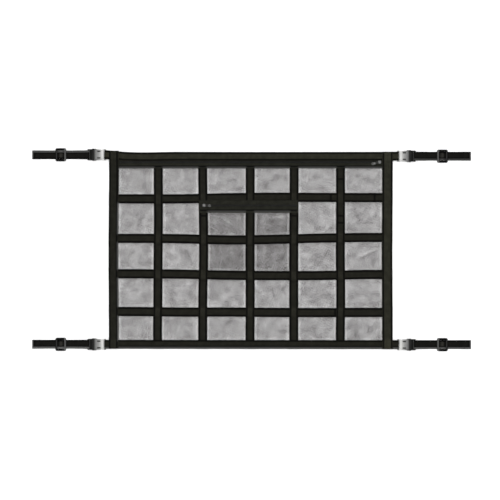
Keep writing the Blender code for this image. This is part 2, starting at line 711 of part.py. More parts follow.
def zip_pull(length, fall):
    """A pull with its eye round the bridge, level at the eye and then falling to its tip."""
    half = PULL_WIDTH / 2
    head = half - PULL_HEAD_CORNER
    tip = half - PULL_TIP_CORNER
    side = [(0, half), (PULL_BEND, half), (length - PULL_TIP_CORNER, half)]
    outline = [(-PULL_HEAD, head)] + side + [(length, tip), (length, -tip)]
    outline += [(x, -y) for x, y in reversed(side)] + [(-PULL_HEAD, -head)]
    pull = plate([outline, rectangle(EYE_START, EYE_END, EYE_WIDTH, 0)], PULL_THICKNESS,
                 SLIDER_PLATE + BRIDGE_CLEAR / 2)
    for vert in pull.data.vertices:
        vert.co.z -= max(0.0, vert.co.x - PULL_BEND) * math.tan(math.radians(fall))
    return combined(pull)


def build_sliders():
    for name, row in ZIPS.items():
        slider = add_object(f"{name}_slider", zip_slider(), "zip_metal")
        pull = add_object(f"{name}_pull", zip_pull(row["length"], row["fall"]), "zip_metal")
        for piece in (slider, pull):
            piece.location = (row["x"], row["y"], row["z"])
        slider.rotation_euler = (0, 0, math.pi * round(row["turn"] / 180))
        pull.rotation_euler = (0, 0, math.radians(row["turn"]))


clear_scene()
COLLECTION = make_collection("car_ceiling_storage_net")
build_panels()
build_cross_webs()
build_upright_webs()
build_side_webs()
build_edge_webs()
build_top_zip()
build_pocket_zip()
build_sliders()
build_corners()
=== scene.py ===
"""Looks of the car ceiling storage net, lying flat and face up, seen from straight above."""

import math

import bmesh
import bpy
import numpy as np
from mathutils import Matrix, Vector


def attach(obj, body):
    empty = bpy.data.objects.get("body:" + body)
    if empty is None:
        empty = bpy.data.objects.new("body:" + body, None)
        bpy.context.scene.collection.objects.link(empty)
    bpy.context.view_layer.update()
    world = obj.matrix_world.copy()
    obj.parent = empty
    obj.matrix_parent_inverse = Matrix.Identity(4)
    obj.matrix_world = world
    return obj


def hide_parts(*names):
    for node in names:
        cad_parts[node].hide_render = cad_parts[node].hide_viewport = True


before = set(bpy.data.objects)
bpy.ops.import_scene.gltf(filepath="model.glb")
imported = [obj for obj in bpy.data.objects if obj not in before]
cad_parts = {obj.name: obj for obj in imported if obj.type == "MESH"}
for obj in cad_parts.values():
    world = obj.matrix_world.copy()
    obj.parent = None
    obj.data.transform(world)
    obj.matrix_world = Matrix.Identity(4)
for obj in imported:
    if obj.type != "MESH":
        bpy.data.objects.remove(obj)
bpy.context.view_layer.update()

MM = 0.001

# Cloth layers: each sheet is one sheet thick, and lies a small gap above the one below it
SHEET = 1.0 * MM
GAP = 0.3 * MM
LAYER = SHEET + GAP
HALF_SHEET = SHEET / 2

# How a web steps over what lies under it
STEP_MARGIN = 1.5 * MM
STEP_RAMP = 6.0 * MM

# Widths of the webs
STRAP_WIDTH = 25.0 * MM
UPRIGHT_WIDTH = 25.0 * MM
CROSS_WIDTH = 26.0 * MM
LEFT_SIDE_WIDTH = 27.4 * MM
RIGHT_SIDE_WIDTH = 29.6 * MM

# Mesh panels and the pocket, and how far apart their grid lines are
PANEL_LEFT = -400.5 * MM
PANEL_RIGHT = 395.5 * MM
PANEL_BOTTOM = -277.5 * MM
BACK_PANEL_TOP = 272.0 * MM
FRONT_PANEL_TOP = 236.0 * MM
POCKET_LEFT = -146.5 * MM
POCKET_RIGHT = 129.0 * MM
POCKET_BOTTOM = -80.0 * MM
POCKET_TOP = 121.0 * MM
BACK_PITCH = 5.0 * MM
FOLDED_PITCH = 3.4 * MM
FOLDED_ROW_PITCH = 2.4 * MM

# Zips: the outlines of their tapes, and the lines and width of their chains
POCKET_TAPE_LEFT = -149.0 * MM
POCKET_TAPE_RIGHT = 131.5 * MM
POCKET_TAPE_LOW = 104.0 * MM
POCKET_TAPE_HIGH = 139.5 * MM
POCKET_ZIP_Y = 124.8 * MM
TOP_TAPE_LEFT = -388.0 * MM
TOP_TAPE_RIGHT = 381.0 * MM
TOP_TAPE_LOW = 229.4 * MM
TOP_TAPE_HIGH = 259.0 * MM
TOP_ZIP_Y = 247.3 * MM
TAPE_FALL = 5.5 * MM
CHAIN_WIDTH = 5.0 * MM
CHAIN_END_MARGIN = 1.0 * MM

# Centre lines of the webs, in mm, at the middle of each column or row of openings
COLUMN_X = (-326.0, -200.0, -69.0, 57.0, 185.0, 316.0)
ROW_Y = (-221.0, -123.0, -20.0, 87.0, 194.0)
CROSS_WEBS = {
    "cross_web_1": (143.5, 143.5, 146.5, 148.0, 147.5, 147.0),
    "cross_web_2": (32.0, 31.0, 27.5, 29.0, 32.5, 34.5),
    "cross_web_3": (-68.0, -69.0, -72.0, -73.0, -73.0, -70.0),
    "cross_web_4": (-174.5, -176.0, -176.0, -177.0, -177.5, -177.0),
}
UPRIGHT_WEBS = {
    "upright_web_1": (-265.5, -264.5, -264.0, -263.0, -263.5),
    "upright_web_2": (-138.0, -137.5, -135.5, -136.0, -138.0),
    "upright_web_3": (-4.5, -4.0, -4.5, -4.0, -4.0),
    "upright_web_4": (119.0, 119.0, 119.0, 119.5, 120.0),
    "upright_web_5": (250.5, 251.5, 250.5, 251.0, 251.0),
}
SIDE_WEBS = {
    "side_web_left": (-389.0, -389.5, -390.0, -389.5, -388.5),
    "side_web_right": (383.5, 383.0, 382.5, 383.0, 383.5),
}
EDGE_WEB_X = (-430.0, -403.0, -365.0, -200.0, 0.0, 200.0, 398.0, 430.0)
EDGE_WEBS = {
    "top_web": (268.0, 267.6, 264.2, 263.6, 263.2, 263.4, 263.8, 264.0),
    "bottom_web": (-267.0, -267.0, -267.1, -267.4, -267.6, -267.8, -268.0, -268.0),
}
POCKET_UPRIGHTS = ("upright_web_2", "upright_web_3", "upright_web_4")
POCKET_CROSS_WEBS = ("cross_web_2", "cross_web_3")
UPRIGHT_TOP = 235.0 * MM
UPRIGHT_BOTTOM = -262.0 * MM
CROSS_LEFT = -386.0 * MM
CROSS_RIGHT = 379.0 * MM
LAP_INSIDE = 25.0 * MM

# Edges of the side webs and the bottom web, where stitches on the cloth under them aren't seen
INNER_LEFT = -375.5 * MM
INNER_RIGHT = 368.5 * MM
INNER_BOTTOM = -255.0 * MM

# Corners: which way the strap leaves (-1 left, 1 right) and the height of its centre line
CORNERS = {
    "top_left": (-1, 268.0 * MM),
    "top_right": (1, 264.0 * MM),
    "bottom_left": (-1, -267.0 * MM),
    "bottom_right": (1, -268.0 * MM),
}
NET_EDGE = {-1: 403.0 * MM, 1: 398.4 * MM}

# Puckers of the front panel and pocket: height of the crown at each opening, in mm, one line for
# each row from the bottom, the columns left to right. Then how far they stay from the webs, how
# much they lean, and how soon creases come to their full height inside a pucker
PUCKERS = (
    (1.3, 0.8, 1.1, 0.9, 1.6, 1.8),
    (0.9, 1.4, 1.0, 0.7, 1.2, 1.0),
    (1.5, 1.0, 1.7, 1.3, 1.1, 1.6),
    (1.8, 1.2, 1.5, 1.9, 1.4, 0.9),
    (1.0, 1.5, 0.8, 1.1, 1.3, 1.4),
)
PUCKER_MARGIN = 4.0 * MM
PUCKER_LEAN = 0.18
INSIDE_GAIN = 6.0

# Main creases of the front mesh, in mm: from one end to the other, half width, and height
# (below zero for a trough). A short one is a small dimple or bump that catches the light.
CREASES = {
    "from_x": (278, 322, 190, -329, -184, -92, 46, 207, 191, 283, 147, 190, 300, 303,
               -232, -184, -69, 80, 175, 311, 167, 338, 292, -232, -205, -345, 268, 60,
               -214, 150, -100, -330, 40, -190, 320),
    "from_y": (180, 217, 224, 50, 93, 98, 90, 55, 93, 112, -12, -40, -20, -27,
               -108, -97, -130, -97, -101, -149, -199, -212, -204, -2, 4, -30, -220, -216,
               188, 196, -240, -140, 182, -215, 84),
    "to_x": (318, 336, 222, -298, -176, -40, 96, 224, 200, 329, 158, 221, 357, 354,
             -168, -176, -63, 87, 183, 319, 175, 349, 294, -196, -172, -312, 300, 84,
             -186, 176, -62, -306, 76, -166, 340),
    "to_y": (210, 222, 192, 112, 97, 62, 93, 78, 97, 61, -18, 5, 5, -3,
             -111, -96, -126, -97, -98, -147, -198, -196, -249, -14, -12, 2, -190, -246,
             212, 216, -204, -110, 208, -236, 104),
    "half_width": (5, 5, 4, 5, 4, 5, 4, 4, 4, 5, 8, 6, 3.5, 5,
                   4, 3.5, 3.5, 3.5, 3.5, 3.5, 3.5, 4, 6, 4, 5, 5, 5, 5,
                   4, 4, 5, 5, 5, 5, 4),
    "height": (0.5, 0.9, 0.5, -0.7, 0.6, 0.5, 0.6, 0.7, 0.6, -0.4, 0.7, -0.7, 0.9, -0.6,
               0.4, 0.6, 0.5, 0.6, 0.5, 0.5, 0.5, 0.6, -0.5, 0.4, -0.4, 0.4, -0.4, 0.4,
               0.4, 0.4, -0.4, 0.4, -0.4, 0.4, 0.4),
}
CREASE_END_SHARE = 0.55
SMALL_CREASES = 150
SMALL_CREASE_HEIGHT = 0.22 * MM
SMALL_CREASE_REACH = (6.0 * MM, 20.0 * MM)
SMALL_CREASE_HALF_WIDTH = (2.5 * MM, 5.0 * MM)
SEED = 7

# Buckle, measured outwards from the end of its webbing bar nearest the net
BUCKLE_START = 410.5 * MM
BUCKLE_HEIGHT = 9.0 * MM
LOOP_WIDTH = 31.0 * MM
LOOP_CORNER = 2.0 * MM
LOOP_ROOT = 2.5 * MM
SLOT_WIDTH = 25.6 * MM
BAR_WIDTH = 3.5 * MM
BAR_HEIGHT = 3.0 * MM
FEMALE_SLOT = 4.8 * MM
FEMALE_LENGTH = 32.5 * MM
CAVITY_START = 11.0 * MM
CAVITY_WIDTH = 27.2 * MM
CAVITY_HEIGHT = 5.2 * MM
WINDOW_START = 15.0 * MM
WINDOW_END = 25.0 * MM
WINDOW_WIDTH = 3.6 * MM
WINDOW_OFFSET = 9.2 * MM
TONGUE_HEIGHT = 4.4 * MM
SHOULDER_LENGTH = 6.7 * MM
MALE_SLOT = 1.8 * MM
MALE_END = 52.5 * MM
SLOT_CORNER = 0.6 * MM
CAVITY_CORNER = 0.8 * MM
WINDOW_CORNER = 0.45 * WINDOW_WIDTH
LOOP_ROUNDING = 0.5 * MM
TONGUE_ROUNDING = 0.3 * MM

# Tri-glide, and the strap through it
GLIDE_MIDDLE = 128.0 * MM
GLIDE_LENGTH = 30.0 * MM
GLIDE_WIDTH = 37.0 * MM
GLIDE_HEIGHT = 3.2 * MM
GLIDE_BAR = 5.0 * MM
GLIDE_CORNER = 4.0 * MM
GLIDE_SLOT_CORNER = 0.7 * MM
GLIDE_ROUNDING = 0.9 * MM
GLIDE_CLEAR = 1.0 * MM
NOTCHES = 9
NOTCH_PITCH = 3.0 * MM
NOTCH_DEPTH = 1.2 * MM
NOTCH_WIDTH = 1.3 * MM
STRAP_END = 209.3 * MM
HEM_LENGTH = 23.0 * MM
HEM_RISE = 1.5 * MM
LAP_LENGTH = 30.0 * MM
LAP_FALL = 11.0 * MM
BAR_CLEARANCE = 0.4 * MM
FOLD_RADIUS = 1.2 * MM

# Modelling: how close points are merged, how far a cut runs past a face, how far apart the places
# along a web are, how many make a ramp, a quarter turn or a hem's fold, and how far along its
# runs a corner of a path is cut, as a share of them. A shorter vector than the last has no
# direction.
WELD = 0.01 * MM
CUT_PAST = 5.0 * MM
PLACES_PITCH = 4.0 * MM
RAMP_PLACES = 7
TURN_STEPS = 6
HEM_STEPS = 8
CORNER_REACH = 0.25
SHORTEST = 1e-12


# Camera, light and floor

CAMERA_LENS = 85.0
CAMERA_SENSOR = 36.0
VIEW_WIDTH = 1412.5 * MM
VIEW_X = -4.5 * MM
VIEW_Y = -0.8 * MM
FLOOR_SIZE = 40.0
FLOOR_DROP = 0.2 * MM
FLOOR_COLOR = (0.86, 0.86, 0.86)
FLOOR_ROUGHNESS = 0.9
WORLD_STRENGTH = 0.9
LAMP_SIZE = 6.0
LAMP_HEIGHT = 5.0
LAMP_POWER = 240.0
LAMP_LEAN = (0.0, 0.9)


def add_stage():
    """The camera straight above, one broad soft lamp, an even sky and a plain white floor."""
    scene = bpy.context.scene
    scene.view_settings.view_transform = 'Standard'
    camera = bpy.data.objects.new("camera", bpy.data.cameras.new("camera"))
    camera.data.lens = CAMERA_LENS
    camera.data.sensor_width = CAMERA_SENSOR
    camera.location = (VIEW_X, VIEW_Y, VIEW_WIDTH * CAMERA_LENS / CAMERA_SENSOR)
    scene.collection.objects.link(camera)
    scene.camera = camera

    lamp = bpy.data.objects.new("lamp", bpy.data.lights.new("lamp", 'AREA'))
    lamp.data.size = LAMP_SIZE
    lamp.data.energy = LAMP_POWER
    lamp.location = (*LAMP_LEAN, LAMP_HEIGHT)
    lamp.rotation_euler = Vector((*LAMP_LEAN, LAMP_HEIGHT)).to_track_quat('Z', 'Y').to_euler()
    scene.collection.objects.link(lamp)

    world = bpy.data.worlds.new("sky")
    world.use_nodes = True
    world.node_tree.nodes["Background"].inputs["Color"].default_value = (1, 1, 1, 1)
    world.node_tree.nodes["Background"].inputs["Strength"].default_value = WORLD_STRENGTH
    scene.world = world

    bm = bmesh.new()
    bmesh.ops.create_grid(bm, x_segments=1, y_segments=1, size=FLOOR_SIZE / 2)
    mesh = bpy.data.meshes.new("floor")
    bm.to_mesh(mesh)
    bm.free()
    floor = bpy.data.objects.new("floor", mesh)
    floor.location.z = -FLOOR_DROP
    scene.collection.objects.link(floor)
    material, _, _ = new_material("floor_white", FLOOR_COLOR, FLOOR_ROUGHNESS)
    mesh.materials.append(material)


# Materials

# Noises: waves in a metre, how many finer layers they have, and how strong those are. Their
# values mostly lie in the range.
NOISES = {
    "mesh_patches": (42, 3, 0.6),
    "mesh_flecks": (260, 2, 0.6),
    "fibres": (2200, 2, 0.5),
    "cloth_patches": (60, 3, 0.5),
    "streaks": (900, 2, 0.5),
    "twist": (3000, 1, 0.5),
    "grain": (2600, 2, 0.5),
    "flow_marks": (90, 3, 0.5),
    "scuffs": (700, 4, 0.7),
    "brushed": (2400, 2, 0.5),
    "highlight_spots": (260, 2, 0.5),
}
NOISE_RANGE = (0.3, 0.7)
# Bumps: how strong each is, and how high
BUMPS = {
    "mesh": (0.4, 0.3 * MM),
    "thread": (0.4, 0.1 * MM),
    "plastic": (0.25, 0.05 * MM),
    "metal": (0.2, 0.04 * MM),
}
WOVEN_BUMP = 0.7


def new_material(name, color, roughness, metallic=0.0, specular=0.5):
    """A material, its node tree and its shader."""
    material = bpy.data.materials.new(name)
    material.use_nodes = True
    shader = material.node_tree.nodes["Principled BSDF"]
    shader.inputs["Base Color"].default_value = (*color, 1.0)
    shader.inputs["Roughness"].default_value = roughness
    shader.inputs["Metallic"].default_value = metallic
    shader.inputs["Specular IOR Level"].default_value = specular
    return material, material.node_tree, shader


def add_node(tree, kind, inputs=None, **settings):
    """A node whose inputs are numbers or the outputs of other nodes."""
    node = tree.nodes.new(kind)
    for name, value in settings.items():
        setattr(node, name, value)
    for socket, value in (inputs or {}).items():
        if isinstance(value, bpy.types.NodeSocket):
            tree.links.new(value, node.inputs[socket])
        else:
            node.inputs[socket].default_value = value
    return node


def attribute(tree, name, output="Fac"):
    return add_node(tree, "ShaderNodeAttribute", attribute_name=name).outputs[output]


def math_node(tree, operation, first, second=0.0):
    node = add_node(tree, "ShaderNodeMath", {0: first, 1: second}, operation=operation)
    return node.outputs["Value"]


def remapped(tree, value, from_low, from_high, to_low, to_high):
    inputs = {"Value": value, "From Min": from_low, "From Max": from_high,
              "To Min": to_low, "To Max": to_high}
    return add_node(tree, "ShaderNodeMapRange", inputs).outputs["Result"]


def noise(tree, name, vector):
    scale, detail, roughness = NOISES[name]
    inputs = {"Vector": vector, "Scale": scale, "Detail": detail, "Roughness": roughness}
    return add_node(tree, "ShaderNodeTexNoise", inputs).outputs["Fac"]


def varied(tree, value, low, high):
    """A noise's value, spread from low to high over its usual range."""
    return remapped(tree, value, *NOISE_RANGE, low, high)


def object_place(tree):
    return add_node(tree, "ShaderNodeTexCoord").outputs["Object"]


def mixed(tree, factor, first, second, blend='MIX'):
    """A mix of two colours, each a colour or another node's output."""
    node = tree.nodes.new("ShaderNodeMix")
    node.data_type = 'RGBA'
    node.blend_type = blend
    for socket, value in ((node.inputs[0], factor), (node.inputs[6], first), (node.inputs[7], second)):
        if isinstance(value, bpy.types.NodeSocket):
            tree.links.new(value, socket)
        elif isinstance(value, tuple):
            socket.default_value = (*value, 1.0)
        else:
            socket.default_value = value
    return node.outputs[2]


def add_bump(tree, shader, height, strength, distance):
    inputs = {"Height": height, "Strength": strength, "Distance": distance}
    bump = add_node(tree, "ShaderNodeBump", inputs)
    tree.links.new(bump.outputs["Normal"], shader.inputs["Normal"])


MESH_COLOR = (0.067, 0.059, 0.059)
MESH_HIGHLIGHT_COLOR = (0.24, 0.236, 0.228)
MESH_HOLE = 0.469
POCKET_MESH_HOLE = 0.484
MESH_HOLE_SOFT = 0.07
MESH_TONE_GAIN = 0.12
MESH_UNEVEN = 0.3
OPEN_PATCHES = (-0.035, 0.035)
OPEN_FLECKS = (-0.03, 0.03)
HIGHLIGHT_TONES = (0.1, 1.0)
HIGHLIGHT_SHARES = (0.0, 0.8)


def mesh_fabric(name, pitch, turn, hole=MESH_HOLE):
    """Fine knitted mesh: small round holes between dark yarns, a little uneven, with soft sheen.

    The attribute tone says where the holes open wider and a highlight is painted into the yarn's colour
    (above zero), or where they close up and the cloth is darker (below zero).
    """
    material, tree, shader = new_material(name, MESH_COLOR, roughness=0.62, specular=0.35)
    place = object_place(tree)
    turned = add_node(tree, "ShaderNodeMapping", {"Vector": place, "Rotation": (0, 0, turn)})
    cells = add_node(tree, "ShaderNodeTexVoronoi",
                     {"Vector": turned.outputs["Vector"], "Scale": 1 / pitch,
                      "Randomness": MESH_UNEVEN},
                     voronoi_dimensions='2D')
    patches = noise(tree, "mesh_patches", place)
    flecks = noise(tree, "mesh_flecks", place)
    tone = attribute(tree, "tone")
    open_share = math_node(tree, 'ADD', varied(tree, patches, *OPEN_PATCHES),
                           varied(tree, flecks, *OPEN_FLECKS))
    open_share = math_node(tree, 'ADD', open_share, math_node(tree, 'MULTIPLY', tone, MESH_TONE_GAIN))
    edge = math_node(tree, 'SUBTRACT', cells.outputs["Distance"], open_share)
    alpha = remapped(tree, edge, hole - MESH_HOLE_SOFT, hole + MESH_HOLE_SOFT, 0, 1)
    tree.links.new(alpha, shader.inputs["Alpha"])
    # Painted highlight: the yarn turns lighter where tone is above zero
    light = remapped(tree, tone, *HIGHLIGHT_TONES, *HIGHLIGHT_SHARES)
    colored = mixed(tree, light, MESH_COLOR, MESH_HIGHLIGHT_COLOR)
    tree.links.new(colored, shader.inputs["Base Color"])
    add_bump(tree, shader, cells.outputs["Distance"], *BUMPS["mesh"])
    return material


BETWEEN_FLOATS = 0.11
FIBRE_HEIGHT = 0.35
STREAK_STRETCH = (0.04, 1.0, 1.0)
STREAK_SHADES = (0.8, 1.2)
PATCH_SHADES = (0.78, 1.22)
# Painted shade along rows of stitches and joins: full within the first distance, gone past the second
SEAM_SHADE_HALF = 1.3 * MM
SEAM_SHADE_END = 3.4 * MM
SEAM_PAINTED_SHADE = 0.1
PAINTED_LIGHT_GAIN = 0.35
PALE_STRIP_COLOR = (0.175, 0.175, 0.172)
PALE_STRIP_DARK = (0.11, 0.11, 0.108)


def woven(name, color, dark, rib, pick, bump):
    """Woven webbing or tape: short floats side by side, darker between them, with a painted shade along
    its seams.

    The attribute weave is the place along and across the cloth, and seam the distance from the nearest
    row of stitches. The attribute pressed is a painted highlight (above zero) or a painted shade (below
    zero), and pale mixes in a paler colour.
    """
    material, tree, shader = new_material(name, color, roughness=0.85, specular=0.04)
    weave = attribute(tree, "weave", "Vector")
    floats = add_node(tree, "ShaderNodeTexBrick",
                      {"Vector": weave, "Scale": 1 / rib, "Brick Width": pick / rib,
                       "Row Height": 1.0, "Mortar Size": BETWEEN_FLOATS, "Mortar Smooth": 1.0})
    between = floats.outputs["Fac"]
    fibres = noise(tree, "fibres", weave)
    patches = noise(tree, "cloth_patches", weave)
    streaks = add_node(tree, "ShaderNodeMapping", {"Vector": weave, "Scale": STREAK_STRETCH})
    streaked = noise(tree, "streaks", streaks.outputs["Vector"])
    colored = mixed(tree, between, color, dark)
    shade = math_node(tree, 'MULTIPLY', varied(tree, patches, *PATCH_SHADES),
                      varied(tree, streaked, *STREAK_SHADES))
    seam = remapped(tree, attribute(tree, "seam"), SEAM_SHADE_HALF, SEAM_SHADE_END, SEAM_PAINTED_SHADE, 1.0)
    shade = math_node(tree, 'MULTIPLY', shade, seam)
    # Painted highlight or shade, multiplied into the colour
    painted_light = math_node(tree, 'MULTIPLY', attribute(tree, "painted_light"), PAINTED_LIGHT_GAIN)
    shade = math_node(tree, 'MULTIPLY', shade, math_node(tree, 'ADD', painted_light, 1.0))
    tinted = add_node(tree, "ShaderNodeVectorMath", {0: colored}, operation='SCALE')
    tree.links.new(shade, tinted.inputs["Scale"])
    paler = mixed(tree, between, PALE_STRIP_COLOR, PALE_STRIP_DARK)
    with_pale_strips = mixed(tree, attribute(tree, "pale"), tinted.outputs["Vector"], paler)
    tree.links.new(with_pale_strips, shader.inputs["Base Color"])
    height = math_node(tree, 'SUBTRACT', math_node(tree, 'MULTIPLY', fibres, FIBRE_HEIGHT), between)
    add_bump(tree, shader, height, WOVEN_BUMP, bump)
    return material


THREAD_ROUGHNESS = (0.5, 0.75)


def thread(name, color):
    """Sewing thread: two plies twisted, with a soft gloss."""
    material, tree, shader = new_material(name, color, roughness=0.6, specular=0.08)
    twist = noise(tree, "twist", object_place(tree))
    tree.links.new(varied(tree, twist, *THREAD_ROUGHNESS), shader.inputs["Roughness"])
    add_bump(tree, shader, twist, *BUMPS["thread"])
    return material


def painted_light_along(tree, place, light_and_shade):
    """Painted highlight and shade along X, as grey factors from a table of places in mm."""
    low, high = light_and_shade["at"][0], light_and_shade["at"][-1]
    along = add_node(tree, "ShaderNodeSeparateXYZ", {0: place}).outputs["X"]
    ramp = add_node(tree, "ShaderNodeValToRGB",
                    {"Fac": remapped(tree, along, low * MM, high * MM, 0, 1)})
    stops = ramp.color_ramp.elements
    for _ in light_and_shade["at"][2:]:
        stops.new(0.5)
    for stop, at, shade in zip(stops, light_and_shade["at"], light_and_shade["shade"]):
        stop.position = (at - low) / (high - low)
        stop.color = (shade, shade, shade, 1.0)
    return ramp.outputs["Color"]


FLOW_RANGE = (0.35, 0.65)
SCUFF_RANGE = (0.45, 0.8)
SCUFF_ROUGHNESS = (0.9, 1.5)


def moulded(name, color, roughness, fleck, specular, light_and_shade=None):
    """Moulded plastic: fine grain, faint flow marks and scuffs that vary its roughness."""
    material, tree, shader = new_material(name, color, roughness, specular=specular)
    place = object_place(tree)
    grain = noise(tree, "grain", place)
    flow = noise(tree, "flow_marks", place)
    scuffs = noise(tree, "scuffs", place)
    lighter = tuple(min(1.0, c * (1 + fleck)) for c in color)
    darker = tuple(c * (1 - fleck) for c in color)
    colored = mixed(tree, remapped(tree, flow, *FLOW_RANGE, 0, 1), darker, lighter)
    # Painted highlight and shade along the part, multiplied into its colour
    if light_and_shade:
        colored = mixed(tree, 1.0, colored, painted_light_along(tree, place, light_and_shade), 'MULTIPLY')
    tree.links.new(colored, shader.inputs["Base Color"])
    worn = remapped(tree, scuffs, *SCUFF_RANGE, *SCUFF_ROUGHNESS)
    worn = math_node(tree, 'MULTIPLY', worn, roughness)
    tree.links.new(worn, shader.inputs["Roughness"])
    add_bump(tree, shader, grain, *BUMPS["plastic"])
    return material


# Painted highlights on the zip metal: on its top, starting at the first height and full past the
# second, and in patchy spots kept away from the pull's waist
HIGHLIGHT_FROM = 3.4 * MM
HIGHLIGHT_TO = 4.3 * MM
PULL_WAIST = 8.0 * MM
UNLIT_HALF = 4.0 * MM
UNLIT_FADE_END = 5.5 * MM
SPOT_RANGE = (0.45, 0.62)
SPOT_SHARES = (0.35, 0.8)
BRUSH_STRETCH = (0.06, 1.0, 1.0)
METAL_ROUGHNESS = (0.26, 0.46)


def plated(name, color, highlight_color):
    """Dark plated zinc: satin, with brushed lines, and painted highlights on top and in patchy spots.

    The spots of painted highlight lie at the slider and the pull's tip, and there are none at the
    pull's waist.
    """
    material, tree, shader = new_material(name, color, roughness=0.34, metallic=1.0)
    place = object_place(tree)
    lines = add_node(tree, "ShaderNodeMapping", {"Vector": place, "Scale": BRUSH_STRETCH})
    brushed = noise(tree, "brushed", lines.outputs["Vector"])
    lit_spots = remapped(tree, noise(tree, "highlight_spots", place), *SPOT_RANGE, *SPOT_SHARES)
    places = add_node(tree, "ShaderNodeSeparateXYZ", {0: place}).outputs
    lit_top = remapped(tree, places["Z"], HIGHLIGHT_FROM, HIGHLIGHT_TO, 0, 1)
    from_waist = math_node(tree, 'ABSOLUTE', math_node(tree, 'SUBTRACT', places["X"], PULL_WAIST))
    at_ends = remapped(tree, from_waist, UNLIT_HALF, UNLIT_FADE_END, 0, 1)
    lit_spots = math_node(tree, 'MULTIPLY', lit_spots, at_ends)
    tree.links.new(varied(tree, brushed, *METAL_ROUGHNESS), shader.inputs["Roughness"])
    colored = mixed(tree, math_node(tree, 'MAXIMUM', lit_spots, lit_top), color, highlight_color)
    tree.links.new(colored, shader.inputs["Base Color"])
    add_bump(tree, shader, brushed, *BUMPS["metal"])
    return material


# Pieces, and the angles in degrees above which an edge is shaded sharp
PLASTIC_SHARP = 32.0
METAL_SHARP = 35.0


def add_piece(name, mesh, material, nodes=(), matrix=None, sharp_angle=40.0):
    """A piece of the net: shaded smooth, riding on the net's one body, in its material slot."""
    mesh.shade_smooth()
    mesh.set_sharp_from_angle(angle=math.radians(sharp_angle))
    if not mesh.materials:
        mesh.materials.append(material)
    piece = bpy.data.objects.new(name, mesh)
    bpy.context.scene.collection.objects.link(piece)
    if matrix is not None:
        piece.matrix_world = matrix
    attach(piece, "root")
    if nodes:
        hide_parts(*nodes)
    return piece


def store(mesh, name, kind, values):
    """A named attribute with one value, or one vector, for each vertex."""
    data = mesh.attributes.new(name, kind, 'POINT').data
    data.foreach_set("vector" if kind == 'FLOAT_VECTOR' else "value",
                     np.ascontiguousarray(values, dtype=np.float32).ravel())


def store_cloth(mesh, weave, seam, painted_light, pale):
    """The attributes of woven cloth, the same on both faces of a closed sheet."""
    shape = weave.shape[:2]
    store(mesh, "weave", 'FLOAT_VECTOR', np.concatenate([weave.reshape(-1, 3)] * 2))
    for name, values in (("seam", seam), ("painted_light", painted_light), ("pale", pale)):
        store(mesh, name, 'FLOAT', np.concatenate([np.broadcast_to(values, shape).ravel()] * 2))


def unit(vectors):
    return vectors / np.maximum(np.linalg.norm(vectors, axis=-1, keepdims=True), SHORTEST)


def grid_normals(points):
    return unit(np.cross(np.gradient(points, axis=0), np.gradient(points, axis=1)))


def grid_faces(rows, columns, start=0, turned=False):
    """Four-sided faces of a grid of vertices, numbered row by row from start."""
    index = start + np.arange(rows * columns).reshape(rows, columns)
    faces = np.stack([index[:-1, :-1], index[1:, :-1], index[1:, 1:], index[:-1, 1:]], axis=-1)
    faces = faces.reshape(-1, 4)
    return faces[:, ::-1] if turned else faces


def closed_sheet(name, points, top, low):
    """A closed sheet of cloth: a grid of middle points, moved up by top and down by low.

    top and low hold one height for each place across the cloth.
    """
    rows, columns = points.shape[:2]
    normal = grid_normals(points)
    vertices = np.concatenate([(points + normal * top[None, :, None]).reshape(-1, 3),
                               (points - normal * low[None, :, None]).reshape(-1, 3)])
    count = rows * columns
    upper = np.arange(count).reshape(rows, columns)
    lower = upper + count
    rim = np.concatenate([upper[:, 0], upper[-1, 1:], upper[-2::-1, -1], upper[0, -2:0:-1]])
    under = np.concatenate([lower[:, 0], lower[-1, 1:], lower[-2::-1, -1], lower[0, -2:0:-1]])
    walls = np.stack([rim, under, np.roll(under, -1), np.roll(rim, -1)], axis=-1)
    faces = np.concatenate([grid_faces(rows, columns), grid_faces(rows, columns, count, True), walls])
    mesh = bpy.data.meshes.new(name)
    mesh.from_pydata(vertices.tolist(), [], faces.tolist())
    return mesh


def lengths_along(points):
    steps = np.linalg.norm(np.diff(points, axis=0), axis=-1)
    return np.concatenate([[0.0], np.cumsum(steps)])


# Curves along the webs

def smooth_line(knots, values):
    """A smooth curve through the values at the knots, level past its ends."""
    knots = np.array(knots) * MM
    values = np.array(values) * MM
    slopes = np.gradient(values, knots)

    def at(place):
        place = np.clip(place, knots[0], knots[-1])
        i = np.clip(np.searchsorted(knots, place, side="right") - 1, 0, len(knots) - 2)
        span = knots[i + 1] - knots[i]
        t = (place - knots[i]) / span
        start = (1 + 2 * t) * (1 - t) ** 2 * values[i] + t * (1 - t) ** 2 * span * slopes[i]
        end = t * t * (3 - 2 * t) * values[i + 1] + t * t * (t - 1) * span * slopes[i + 1]
        return start + end

    return at


def line_table(knots, table):
    return {name: smooth_line(knots, row) for name, row in table.items()}


CROSS_Y = line_table(COLUMN_X, CROSS_WEBS)
UPRIGHT_X = line_table(ROW_Y, UPRIGHT_WEBS)
SIDE_X = line_table(ROW_Y, SIDE_WEBS)
EDGE_Y = line_table(EDGE_WEB_X, EDGE_WEBS)


def soft_rise(place, start, end):
    """1 between start and end and for a margin past them, falling softly to 0 over the ramps."""
    corners = (start - STEP_MARGIN - STEP_RAMP, start - STEP_MARGIN,
               end + STEP_MARGIN, end + STEP_MARGIN + STEP_RAMP)
    rise = np.interp(place, corners, (0, 1, 1, 0))
    return rise * rise * (3 - 2 * rise)


def underside(place, base, steps):
    """Height of a web's underside: base, raised over each step (start, end, height)."""
    height = np.full(np.shape(place), base)
    for start, end, top in steps:
        height = np.maximum(height, base + (top - base) * soft_rise(place, start, end))
    return height


